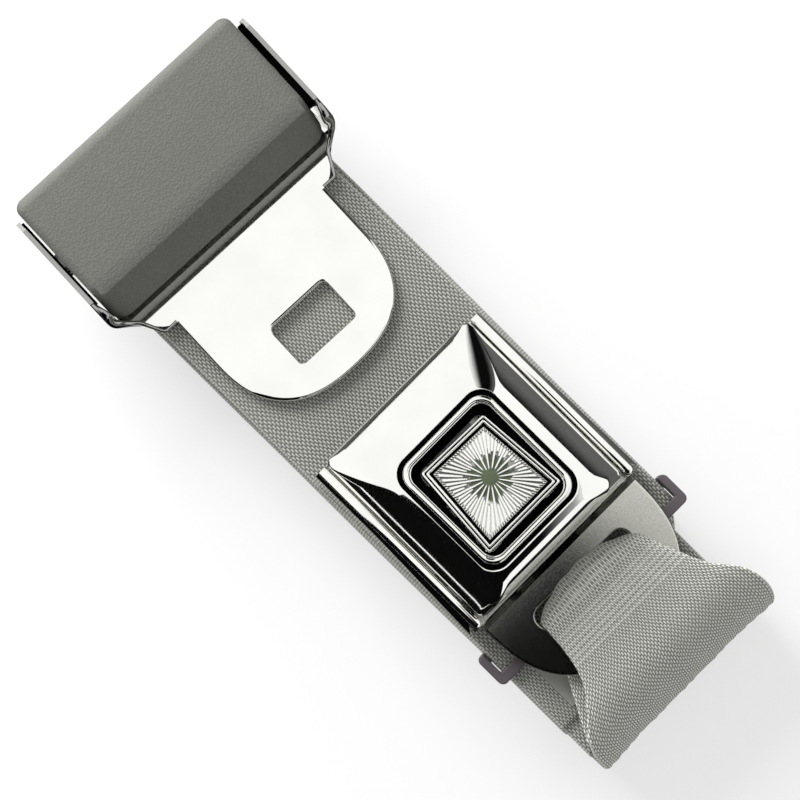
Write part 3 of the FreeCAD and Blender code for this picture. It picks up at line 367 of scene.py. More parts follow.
def askew(piece):
    """Turns and shifts a finished piece as the tongue half lies, a little out of line with the belt."""
    pivot = Vector((place(np.array((TONGUE_PIVOT_X, 0.0, 0.0)))[0], 0.0, 0.0))
    turn = Matrix.Rotation(math.radians(-sizes().tongue_turn), 4, "Z")
    shift = Matrix.Translation((0.0, TONGUE_SHIFT_Y * MILLIMETRE, 0.0))
    piece.data.transform(shift @ Matrix.Translation(pivot) @ turn @ Matrix.Translation(-pivot))
    return piece


def run_of(path):
    """The length along a path at each of its points, and its direction there."""
    along = np.concatenate([[0.0], np.cumsum(np.linalg.norm(np.diff(path, axis=0), axis=1))])
    tangent = np.gradient(path, along, axis=0)
    return along, tangent / np.linalg.norm(tangent, axis=1)[:, None]


def straight(start, end, step):
    """Even points of a straight run, without its start."""
    count = max(1, int(np.linalg.norm(end - start) / step))
    return list(start + (end - start) * np.linspace(0, 1, count + 1)[1:, None])


def rounded_path(corners, radii, step):
    """Points along straight runs joined by tangent arcs, in two dimensions, close together on the arcs."""
    corners = [np.array(c, float) for c in corners]
    out = [corners[0]]
    for k, radius in enumerate(radii, start=1):
        before = corners[k] - corners[k - 1]
        after = corners[k + 1] - corners[k]
        before, after = before / np.linalg.norm(before), after / np.linalg.norm(after)
        turn = math.atan2(before[0] * after[1] - before[1] * after[0], before @ after)
        reach = radius * math.tan(abs(turn) / 2)
        start = corners[k] - before * reach
        side = math.copysign(1.0, turn)
        centre = start + np.array([-before[1], before[0]]) * side * radius
        out += straight(out[-1], start, step)
        steps = max(4, int(abs(turn) * max(radius, 1.0) / step * 2), int(abs(turn) / 0.2))
        a = np.linspace(0, turn, steps + 1)[1:]
        arm = start - centre
        out += list(centre + np.stack([arm[0] * np.cos(a) - arm[1] * np.sin(a),
                                       arm[0] * np.sin(a) + arm[1] * np.cos(a)], 1))
    out = np.array(out + straight(out[-1], corners[-1], step))
    keep = np.concatenate([[True], np.linalg.norm(np.diff(out, axis=0), axis=1) > 1e-4])
    return out[keep]


def eased(values, along, reach):
    """A running mean over a length of path."""
    even = np.arange(along[0], along[-1], reach / 9)
    level = np.interp(even, along, values)
    padded = np.concatenate([np.full(4, level[0]), level, np.full(4, level[-1])])
    return np.interp(along, even, np.convolve(padded, np.ones(9) / 9, "valid"))


def laid(otherwise, where, x, stations, values):
    """Values that follow a table of places in x where a condition holds."""
    return np.where(where, np.interp(x, stations, values), otherwise)


def scatter(numbers, a, b):
    """A share from 0 to 1 for each whole number n, the same every time: the fraction of b * sin(a * n)."""
    return (np.sin(numbers * a) * b) % 1.0


def band(name, path, half_width, centre, lift, thickness, across=27, spread=1.0):
    """A strap carried along a path seen from the side.

    At a point of the path with normal n, a point of the strap is the path's point plus y across the belt,
    plus n times lift, plus or minus half the thickness, which falls to nothing round each selvage as a
    half circle does. The weave's UV is the length along the strap and a distance across it in mm: spread
    times the share of the full width and the rest the true distance.
    """
    along, tangent = run_of(path)
    normal = np.stack([-tangent[:, 1], tangent[:, 0]], 1)
    q = np.sin(np.linspace(-0.5, 0.5, across) * np.pi)
    y = centre[:, None] + half_width[:, None] * q
    r = thickness / 2
    edge = np.clip((np.abs(q) * half_width[:, None] - (half_width[:, None] - r)) / r, 0.0, 0.97)
    rise = r * np.sqrt(1 - edge**2)
    raised = lift(along, q)
    sides = []
    for away in (raised + rise, raised - rise):
        x = path[:, 0, None] + normal[:, 0, None] * away
        z = path[:, 1, None] + normal[:, 1, None] * away
        sides.append(np.stack([x, y, z], -1))
    grid = np.concatenate([sides[0], sides[1][:, ::-1]], 1)
    q_uv = np.concatenate([q, q[::-1], q[:1]])
    width_uv = spread * sizes().webbing_width / 2 + (1 - spread) * half_width
    uv = np.stack(np.broadcast_arrays(along[:, None], width_uv[:, None] * q_uv), -1)
    return lattice(name, grid, uv)


def rounded_ring(front, rear, half, corner, z, arc, side, front_corner=None):
    """Rounded rectangles in plan, one per row: (rows, points, 3).

    Each corner is a quarter circle of radius corner, or of radius front_corner at the front, in arc points.
    Each straight side has side points between its corners.
    """
    front_corner = corner if front_corner is None else front_corner
    front, rear, half, corner, front_corner, z = np.broadcast_arrays(*[
        np.atleast_1d(np.asarray(a, float)) for a in (front, rear, half, corner, front_corner, z)])
    angles = np.linspace(0.0, np.pi / 2, arc)
    arcs = []
    quarters = ((rear, corner, -1, 1), (front, front_corner, 1, 1), (front, front_corner, 1, -1),
                (rear, corner, -1, -1))
    for quarter, (edge, radius, inward, sign_y) in enumerate(quarters):
        a = angles + quarter * np.pi / 2
        centre_x, centre_y = edge + radius * inward, (half - radius) * sign_y
        arcs.append(np.stack([centre_x[:, None] + radius[:, None] * np.cos(a),
                              centre_y[:, None] + radius[:, None] * np.sin(a)], -1))
    share = np.linspace(0.0, 1.0, side + 2)[1:-1, None]
    rings = []
    for quarter in range(4):
        here, after = arcs[quarter], arcs[(quarter + 1) % 4]
        rings += [here, here[:, -1:] + (after[:, :1] - here[:, -1:]) * share]
    flat = np.concatenate(rings, 1)
    return np.concatenate([flat, np.repeat(z[:, None, None], flat.shape[1], 1)], 2)


def plain_bar(name, x, y, z):
    """A plain bar with small round corners between two places on each axis."""
    heights = np.array([z[0], z[1] - 0.1, z[1]])
    ring = rounded_ring(x[0], x[1], (y[1] - y[0]) / 2, 0.15, heights, arc=4, side=4)
    middle = np.array([sum(x) / 2, 0.0])
    ring[-1, :, :2] = ring[0, :, :2] + (middle - ring[0, :, :2]) * 0.01
    ring[..., 1] += sum(y) / 2
    return lattice(name, ring)


def inset_corners(corners, inset):
    """The corners of a convex anticlockwise outline, moved in by the same distance from every side.

    A corner moves by inset * (n1 + n2) / (1 + n1 . n2), with n1 and n2 the inward directions of its sides.
    """
    corners = np.array(corners, float)
    side = np.roll(corners, -1, 0) - corners
    side /= np.linalg.norm(side, axis=1)[:, None]
    after = np.stack([-side[:, 1], side[:, 0]], 1)
    before = np.roll(after, 1, 0)
    return corners + inset * (before + after) / (1 + (before * after).sum(1))[:, None]


def at_height(loop, z):
    """A loop in plan with a height, or with one for each of its points."""
    return np.concatenate([loop, np.broadcast_to(np.asarray(z, float), len(loop))[:, None]], 1)


def outline_ring(corners, corner, z, arc=6, side=12):
    """One ring round an outline's corners at one height, each corner rounded by a parabola of that reach."""
    t = np.linspace(0, 1, arc)[:, None]
    pieces = []
    for k in range(4):
        here, before, after = corners[k], corners[k - 1], corners[(k + 1) % 4]
        a = (before - here) / np.linalg.norm(before - here)
        b = (after - here) / np.linalg.norm(after - here)
        start, end = here + a * corner, here + b * corner
        pieces.append((1 - t) ** 2 * start + 2 * t * (1 - t) * here + t**2 * end)
    share = np.linspace(0, 1, side + 2)[1:-1, None]
    out = []
    for piece, following in zip(pieces, pieces[1:] + pieces[:1]):
        out += [piece, piece[-1] + (following[0] - piece[-1]) * share]
    return at_height(np.concatenate(out), z)


def hood_ring(w, inset, z):
    """Rings of the hood: w is the share of the slope, inset the distance in from there.

    The rear slope is round: at a distance r below the rim, as a share of its reach, it has fallen by
    REAR_DROP * r ** REAR_POWER, and the rest of the height is an upright wall.
    """
    fallen = (HOOD_TOP_Z - HOOD_SHOULDER_Z) * np.clip(1 - w, 0, 1) ** sizes().hood_crown
    rear_w = 1 - np.minimum((fallen / REAR_DROP) ** (1 / REAR_POWER), 1.0)
    front = HOOD_FRONT + FRONT_SLOPE * w + inset
    rear = HOOD_REAR - REAR_SLOPE * rear_w - inset
    half = HOOD_HALF - SIDE_SLOPE * w - inset
    corner = np.maximum(1.7 + 2.5 * w - 0.55 * inset, 0.5)
    front_corner = np.maximum(1.7 + 2.5 * w + 14 * w * (1 - w) - 0.55 * inset, 0.5)
    return rounded_ring(front, rear, half, corner, z, arc=13, side=25, front_corner=front_corner)


def loop_normals(loop):
    """Outward directions of a closed anticlockwise loop in plan."""
    tangent = np.roll(loop, -1, 0) - np.roll(loop, 1, 0)
    tangent /= np.linalg.norm(tangent, axis=1)[:, None]
    return np.stack([tangent[:, 1], -tangent[:, 0]], 1)


def facing(loop, centre, targets):
    """The places on a dense loop at the same angles round the centre as the targets."""
    angle, wanted = (np.arctan2(*(points - centre).T[::-1]) for points in (loop, targets))
    order = np.argsort(angle)
    places = [np.interp(wanted, angle[order], values, period=2 * np.pi) for values in loop[order].T]
    return np.stack(places, 1)


def plate_outline(side_x, tip_x, back_x, half, power):
    """A round-nosed plate in plan, with straight sides and a straight back.

    The nose is |x / reach| ** power + |y / half| ** power = 1, and it runs from the -Y side to the +Y side.
    """
    t = np.linspace(-np.pi / 2, np.pi / 2, 141)
    x = side_x + (tip_x - side_x) * np.abs(np.cos(t)) ** (2 / power)
    y = half * np.sign(t) * np.abs(np.sin(t)) ** (2 / power)
    side = np.linspace(side_x, back_x, 9)[1:]
    back = np.linspace(half, -half, 21)[1:-1]
    return np.concatenate([
        np.stack([x, y], 1), np.stack([side, np.full(8, half)], 1), np.stack([np.full(19, back_x), back], 1),
        np.stack([side[::-1], np.full(8, -half)], 1),
    ])


def pierced_plate(name, outline, window, low, top, edge, soften):
    """A flat plate as rings between its window and its outline, both rounded over at the top.

    The outline's straight back edge stays square, because it joins another piece. soften is the window's
    radius, and what is added to it on the side away from the nose.
    """
    outward = loop_normals(outline)
    back_x = outline[:, 0].min()
    reach = np.abs(outline[:, 1] - outline[:, 1].mean())
    joint = outline[:, 0] < back_x + 1e-6
    corner = joint & (reach > reach.max() - 1e-6)
    outward[joint] = 0.0
    outward[corner, 1] = np.sign(outline[corner, 1])
    window = facing(window, window.mean(0), outline)
    away = loop_normals(window)
    soft = soften[0] + soften[1] * np.clip(-away[:, 0], 0, 1) ** 2
    rows = [at_height(window, low + 0.25)]
    for a in np.linspace(0, np.pi / 2, 7):
        rounded = window + away * (soft * (1 - math.cos(a)))[:, None]
        rows.append(at_height(rounded, top - soft * (1 - math.sin(a))))
    inner = window + away * (soft + 0.12)[:, None]
    outer = outline - outward * (edge + 0.12)
    rows += [at_height(inner + (outer - inner) * share, top) for share in (0.0, 0.35, 0.7, 1.0)]
    for a in np.linspace(np.pi / 2, 0, 7):
        rounded = outline - outward * edge * (1 - math.cos(a))
        rows.append(at_height(rounded, top - edge * (1 - math.sin(a))))
    rows += [at_height(outline, low + 0.3), at_height(outline - outward * 0.1, low + 0.1),
             at_height(outline - outward * 0.3, low), at_height(window + away * 0.25, low)]
    piece = lattice(name, np.stack(rows), wrap_rows=True)
    crease(piece.data)
    return piece


def softened(node, name, width, segments=2, cuts=(), reshape=None):
    """A merged copy of a CAD node with its edges rounded, which stands for that node.

    Each cut is a place and a direction in belt millimetres: what lies beyond that plane is taken off.
    reshape changes the corner points, given in belt millimetres as three columns.
    """
    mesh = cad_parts[node].data.copy()
    mesh.name = name
    work = bmesh.new()
    work.from_mesh(mesh)
    bmesh.ops.remove_doubles(work, verts=work.verts, dist=2e-6)
    bmesh.ops.dissolve_limit(work, angle_limit=math.radians(0.5), verts=work.verts, edges=work.edges)
    for place_on, direction in cuts:
        everything = work.verts[:] + work.edges[:] + work.faces[:]
        bmesh.ops.bisect_plane(work, geom=everything, plane_co=place(np.array(place_on)), plane_no=direction,
                               clear_outer=True)
        rim = [edge for edge in work.edges if edge.is_boundary]
        bmesh.ops.triangle_fill(work, edges=rim, use_beauty=True, use_dissolve=False)
    if reshape is not None:
        points = np.array([vertex.co for vertex in work.verts]) / MILLIMETRE
        points[:, 0] -= BELT_SHIFT
        for vertex, point in zip(work.verts, place(reshape(points))):
            vertex.co = point
    bmesh.ops.recalc_face_normals(work, faces=work.faces)
    for face in work.faces:
        face.smooth = True
    mark_sharp(work, 28)
    work.to_mesh(mesh)
    work.free()
    made = linked(name, mesh)
    rounding = made.modifiers.new("rounded edges", "BEVEL")
    rounding.width = width * MILLIMETRE
    rounding.segments = segments
    rounding.limit_method = "ANGLE"
    rounding.angle_limit = math.radians(40)
    rounding.harden_normals = True
    return made


# Material tools


class Recipe:
    """A material on the Principled shader, with short ways to add and join nodes."""

    def __init__(self, name, base, metallic, roughness):
        self.material = bpy.data.materials.new(name)
        self.material.use_nodes = True
        self.tree = self.material.node_tree
        self.shader = self.tree.nodes["Principled BSDF"]
        self.tune({"Base Color": tuple(base) + (1.0,), "Metallic": metallic, "Roughness": roughness})
        self.height = None

    def set(self, socket, value):
        if isinstance(value, bpy.types.NodeSocket):
            self.tree.links.new(value, socket)
        else:
            socket.default_value = value

    def tune(self, values):
        """Sets inputs of the shader by name."""
        for name, value in values.items():
            self.set(self.shader.inputs[name], value)

    def add(self, kind, values=(), **settings):
        made = self.tree.nodes.new("ShaderNode" + kind)
        for name, setting in settings.items():
            setattr(made, name, setting)
        for name, value in dict(values).items():
            self.set(made.inputs[name], value)
        return made

    def maths(self, operation, a, b=None, c=None):
        made = self.add("Math", operation=operation)
        for k, value in enumerate((a, b, c)):
            if value is not None:
                self.set(made.inputs[k], value)
        return made.outputs[0]

    def soft_step(self, value, low, high):
        made = self.add("MapRange", {"Value": value, "From Min": low, "From Max": high},
                        interpolation_type="SMOOTHSTEP")
        return made.outputs[0]

    def spread(self, value, low, high):
        """A value from 0 to 1, carried over to the stretch from low to high."""
        return self.add("MapRange", {"Value": value, "To Min": low, "To Max": high}).outputs[0]

    def object_position(self):
        """Object coordinates in millimetres."""
        here = self.add("TexCoord").outputs["Object"]
        return self.add("Mapping", {"Vector": here, "Scale": (1000,) * 3}).outputs[0]

    def noise(self, vector, scale, detail, roughness=0.5):
        values = {"Vector": vector, "Scale": scale, "Detail": detail, "Roughness": roughness}
        return self.add("TexNoise", values).outputs["Fac"]

    def mix(self, share, a, b):
        """A colour between a and b."""
        made = self.add("Mix", data_type="RGBA")
        self.set(made.inputs[0], share)
        for socket, value in ((made.inputs[6], a), (made.inputs[7], b)):
            self.set(socket, value if isinstance(value, bpy.types.NodeSocket) else tuple(value) + (1.0,))
        return made.outputs[2]

    def bump(self, height, distance, strength):
        """Adds a height in millimetres of distance on top of the bumps so far."""
        made = self.add("Bump", {"Height": height, "Distance": distance * MILLIMETRE, "Strength": strength})
        if self.height is not None:
            self.set(made.inputs["Normal"], self.height)
        self.height = made.outputs[0]
        self.tune({"Normal": self.height})

    def colour(self, value):
        self.tune({"Base Color": value})

    def rough(self, value):
        self.tune({"Roughness": value})


def darker(value, share):
    return tuple(c * share for c in value)


def chrome(name, tint=1.0, roughness=0.045):
    """Polished plate: a haze that varies, and a very slight unevenness of the sheet, both slow and fine."""
    base = darker(colours().chrome, tint)
    made = Recipe(name, base, 1.0, roughness)
    here = made.object_position()
    haze = made.noise(here, 0.09, 4.0)
    made.rough(made.spread(haze, roughness * 0.5, roughness * 1.9))
    made.colour(made.mix(made.soft_step(haze, 0.3, 0.75), base, darker(base, 0.95)))
    made.bump(made.noise(here, 0.11, 1.0), 0.05, 0.35)
    made.bump(made.noise(here, 6.0, 2.0), 0.0012, 0.5)
    return made.material


def plated(name, base, roughness, speckle, grain=2.2):
    """Dull plating: small bright and dark crystals, and a roughness that follows them."""
    made = Recipe(name, base, 1.0, roughness)
    here = made.object_position()
    crystals = made.noise(here, grain, 3.0, 0.65)
    cloud = made.noise(here, 0.12, 3.0)
    share = made.maths("ADD", made.maths("MULTIPLY", crystals, 0.75), made.maths("MULTIPLY", cloud, 0.25))
    made.colour(made.mix(made.soft_step(share, 0.36, 0.64), darker(base, 1 - speckle), base))
    made.rough(made.spread(crystals, roughness * 0.75, roughness * 1.3))
    made.bump(crystals, 0.02, 0.5)
    return made.material


def moulded(name, base, roughness, grain=0.0, grain_depth=0.0, specular=0.5):
    """Moulded plastic: uneven colour, and where asked for a grain of small raised cells, shinier on top."""
    made = Recipe(name, base, 0.0, roughness)
    made.tune({"Specular IOR Level": specular})
    here = made.object_position()
    cloud = made.noise(here, 0.16, 4.0, 0.6)
    tone = made.mix(made.soft_step(cloud, 0.25, 0.8), darker(base, 0.94), darker(base, 1.05))
    if grain:
        warp = made.add("TexNoise", {"Vector": here, "Scale": 0.8 / grain, "Detail": 1.0}).outputs["Color"]
        bent = made.add("VectorMath", operation="MULTIPLY_ADD")
        for socket, value in zip(bent.inputs, (warp, (grain * 0.9,) * 3, here)):
            made.set(socket, value)
        cells = made.add("TexVoronoi", {"Vector": bent.outputs[0], "Scale": 1 / grain, "Smoothness": 0.35},
                         feature="SMOOTH_F1").outputs["Distance"]
        raised = made.soft_step(cells, 0.75, 0.15)
        tone = made.mix(raised, darker(base, 0.88), tone)
        made.rough(made.maths("MULTIPLY_ADD", raised, -0.12, roughness + 0.08))
        made.bump(raised, grain_depth, 1.0)
    made.bump(made.noise(here, 3.0, 3.0), 0.01, 0.6)
    made.colour(tone)
    return made.material


def woven(name, light, dark, share=1.0, ridges=None):
    """Webbing: rows of long raised threads along it, each row half a thread on from its neighbours.

    Along a row a thread's height is a cosine of the length, and across it is a cosine of the width. Fuzz,
    a narrow ribbed selvage and slow changes of tone are laid over it. share shortens the threads. ridges
    gives the lengths between which sewn ridges run across, and their distance apart.
    """
    made = Recipe(name, light, 0.0, 0.75)
    made.tune({"Sheen Weight": 0.15, "Sheen Roughness": 0.45, "Specular IOR Level": 0.35})
    maths, soft_step = made.maths, made.soft_step
    here = made.object_position()
    u, v = made.add("SeparateXYZ", {"Vector": made.add("UVMap", uv_map="weave").outputs[0]}).outputs[:2]
    drift = maths("MULTIPLY", maths("SUBTRACT", made.noise(here, 0.12, 2.0), 0.5), 1.6)
    row = maths("ADD", maths("DIVIDE", v, sizes().weave_width), drift)
    stagger = maths("MULTIPLY", maths("FLOORED_MODULO", maths("FLOOR", row), 2.0), 0.5)
    uneven = maths("MULTIPLY", made.noise(here, 0.6, 1.0), 0.35)
    column = maths("ADD", maths("DIVIDE", u, sizes().weave_length * share), maths("ADD", stagger, uneven))
    middles = [maths("SUBTRACT", maths("FRACT", count), 0.5) for count in (column, row)]
    long_way, across = (maths("COSINE", maths("MULTIPLY", middle, math.pi)) for middle in middles)
    dash = maths("MULTIPLY", maths("POWER", long_way, 0.8), maths("POWER", across, 0.7))
    body = soft_step(maths("SUBTRACT", SELVAGE_AT, maths("ABSOLUTE", v)), -0.1, 0.2)
    rib = maths("ABSOLUTE", maths("SINE", maths("MULTIPLY", u, math.pi / SELVAGE_RIB)))
    height = made.add("Mix", {"Factor": body}, data_type="FLOAT")
    made.set(height.inputs[2], maths("MULTIPLY_ADD", rib, 0.4, 0.3))
    made.set(height.inputs[3], dash)
    height = height.outputs[0]
    fuzz = made.noise(here, 5.0, 4.0, 0.7)
    cloud = made.noise(here, 0.07, 3.0)
    tone = made.mix(soft_step(height, -0.1, 0.95), dark, light)
    tone = made.mix(maths("MULTIPLY", soft_step(cloud, 0.3, 0.8), 0.22), tone, darker(light, 0.6))
    tone = made.mix(maths("MULTIPLY", soft_step(fuzz, 0.45, 0.75), 0.22), tone, darker(light, 1.2))
    if ridges is not None:
        first, last, apart = ridges
        sewn = maths("MULTIPLY", soft_step(u, first, first + 0.6), soft_step(u, last + 0.6, last))
        wave = maths("COSINE", maths("MULTIPLY", maths("SUBTRACT", u, first), 2 * math.pi / apart))
        ridge = maths("MULTIPLY", maths("MULTIPLY_ADD", wave, -0.5, 0.5), sewn)
        valley = maths("MULTIPLY", maths("SUBTRACT", 1.0, ridge), maths("MULTIPLY", sewn, 0.2))
        tone = made.mix(maths("MULTIPLY", ridge, 0.3), tone, darker(light, 1.15))
        tone = made.mix(valley, tone, darker(light, 0.5))
        made.bump(ridge, 0.14, 0.8)
    made.colour(tone)
    made.bump(height, 0.2, 1.0)
    made.bump(fuzz, 0.05, 0.4)
    return made.material


def satin(name, base):
    """Smooth patch cloth: very fine threads both ways and a soft shine."""
    made = Recipe(name, base, 0.0, 0.42)
    made.tune({"Sheen Weight": 0.2})
    here = made.object_position()
    x, y = made.add("SeparateXYZ", {"Vector": here}).outputs[:2]
    warp, weft = (made.maths("SINE", made.maths("MULTIPLY", place_on, 2 * math.pi / apart))
                  for place_on, apart in ((x, 0.32), (y, 0.26)))
    threads = made.maths("MULTIPLY_ADD", made.maths("MULTIPLY", warp, weft), 0.5, 0.5)
    cloud = made.noise(here, 0.14, 3.0)
    tone = made.mix(made.soft_step(cloud, 0.3, 0.8), darker(base, 0.9), base)
    made.colour(made.mix(made.maths("MULTIPLY", threads, 0.25), tone, darker(base, 0.75)))
    made.bump(threads, 0.02, 0.7)
    return made.material


def painted_rays(name):
    """Bright rays with paint in the hollows round the middle (fill), and a second layer that holds a painted
    dark reflection in the outer hollows and painted shade between the rim's beads.
    """
    base = colours().chrome
    made = Recipe(name, base, 1.0, 0.2)
    fill, painted_dark = (made.add("Attribute", attribute_name=layer).outputs["Fac"] for layer in ("fill", "painted_dark"))
    grain = made.noise(made.object_position(), 4.0, 3.0)
    paint = made.mix(grain, darker(colours().fill, 0.85), darker(colours().fill, 1.15))
    made.colour(made.mix(fill, made.mix(painted_dark, base, PAINTED_REFLECTION_DARK), paint))
    made.tune({"Metallic": made.maths("SUBTRACT", 1.0, made.maths("MAXIMUM", fill, painted_dark))})
    made.rough(made.maths("MULTIPLY_ADD", fill, 0.3, 0.2))
    made.bump(grain, 0.01, 0.5)
    return made.material


MATERIALS = {}


def finish_for(key):
    """The finish for a material slot or a look, made once."""
    if key in MATERIALS:
        return MATERIALS[key]
    tint = colours()
    # The strap's webbing has the long webbing's colours made lighter: painted light for the brighter sheen on
    # the strap
    lit_strap_threads, lit_strap_gaps = darker(tint.webbing_light, 1.42), darker(tint.webbing_dark, 1.35)
    makers = {
        "tongue_chrome": lambda: chrome("tongue chrome"),
        "housing_chrome": lambda: chrome("housing chrome"),
        "cover_chrome": lambda: chrome("hood chrome", roughness=0.035),
        "button_chrome": lambda: chrome("button chrome", roughness=0.07),
        # A darker copy of the polished plate for the flanges: painted shade, in place of the dark reflections
        # on their walls
        "flange_chrome_painted_shade": lambda: chrome("flange chrome", tint=0.42, roughness=0.13),
        "bar_steel": lambda: plated("knurled bar steel", tint.steel, 0.3, 0.35),
        "anchor_steel": lambda: plated("anchor plate steel", tint.steel, 0.34, 0.4, 1.6),
        "d_plate": lambda: plated("polished D-plate", darker(tint.zinc, 1.55), 0.15, 0.2, 2.6),
        "frame_zinc": lambda: plated("frame zinc plating", tint.zinc, 0.12, 0.35, 2.6),
        "lever_steel": lambda: plated("latch lever steel", tint.steel, 0.3, 0.3),
        "pin_steel": lambda: plated("pin steel", tint.steel, 0.22, 0.2),
        "spring_steel": lambda: plated("spring wire steel", darker(tint.steel, 0.8), 0.25, 0.25),
        "cap_plastic": lambda: moulded("grained grey plastic", tint.cap, 0.5, sizes().grain_size, 0.05),
        "keeper_plastic": lambda: moulded("mauve grey plastic", tint.keeper, 0.42),
        "black_plastic": lambda: moulded("black plastic", tint.black, 0.3, specular=0.0),
        "ejector_plastic": lambda: moulded("ejector plastic", darker(tint.keeper, 0.5), 0.45),
        "webbing": lambda: woven("woven webbing", tint.webbing_light, tint.webbing_dark),
        "strap_webbing": lambda: woven("woven strap webbing", lit_strap_threads, lit_strap_gaps, 0.84, SEWN_RIDGES),
        "label_cloth": lambda: satin("satin patch", tint.label),
        "insert_metal": lambda: painted_rays("fluted insert metal"),
    }
    MATERIALS[key] = makers[key]()
    return MATERIALS[key]


def dress(piece, key, body, *nodes, look=None):
    """Gives a piece its finish and its body, and hides the nodes that it stands for."""
    piece.data.materials.clear()
    piece.data.materials.append(finish_for(look or key))
    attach(piece, body)
    if nodes:
        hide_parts(*nodes)


def repaint(node, key):
    """Gives a CAD node that stays its finish."""
    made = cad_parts[node]
    made.data.materials.clear()
    made.data.materials.append(finish_for(key))


# Stage tools


def upright_corners(start, end, low, high):
    """Corners of an upright board between two places in plan."""
    return [start + (low,), end + (low,), end + (high,), start + (high,)]


def level_corners(x0, x1, y0, y1, z):
    """Corners of a level board between two places in x and in y."""
    return [(x0, y0, z), (x1, y0, z), (x1, y1, z), (x0, y1, z)]


def stage_sheet(name, corners, finish):
    """A flat sheet of the stage between corners in metres."""
    mesh = bpy.data.meshes.new(name)
    mesh.from_pydata(corners, [], [tuple(range(len(corners)))])
    mesh.materials.append(finish.material)
    made = linked(name, mesh)
    return made


def board(name, corners, shade, fades=()):
    """A dark board that shows in polished metal alone.

    Each fade is an axis, two places on it in metres, and the shade that the board has reached at the second.
    """
    finish = Recipe(name, (shade,) * 3, 0.0, 1.0)
    finish.tune({"Specular IOR Level": 0.0})
    tone = (shade,) * 3
    if fades:
        split = finish.add("SeparateXYZ", {"Vector": finish.add("TexCoord").outputs["Object"]})
        for axis, first, last, far_shade in fades:
            tone = finish.mix(finish.soft_step(split.outputs[axis], first, last), tone, (far_shade,) * 3)
        finish.colour(tone)
    made = stage_sheet(name, corners, finish)
    for sight in ("visible_camera", "visible_diffuse", "visible_transmission", "visible_shadow"):
        setattr(made, sight, False)


# Operators


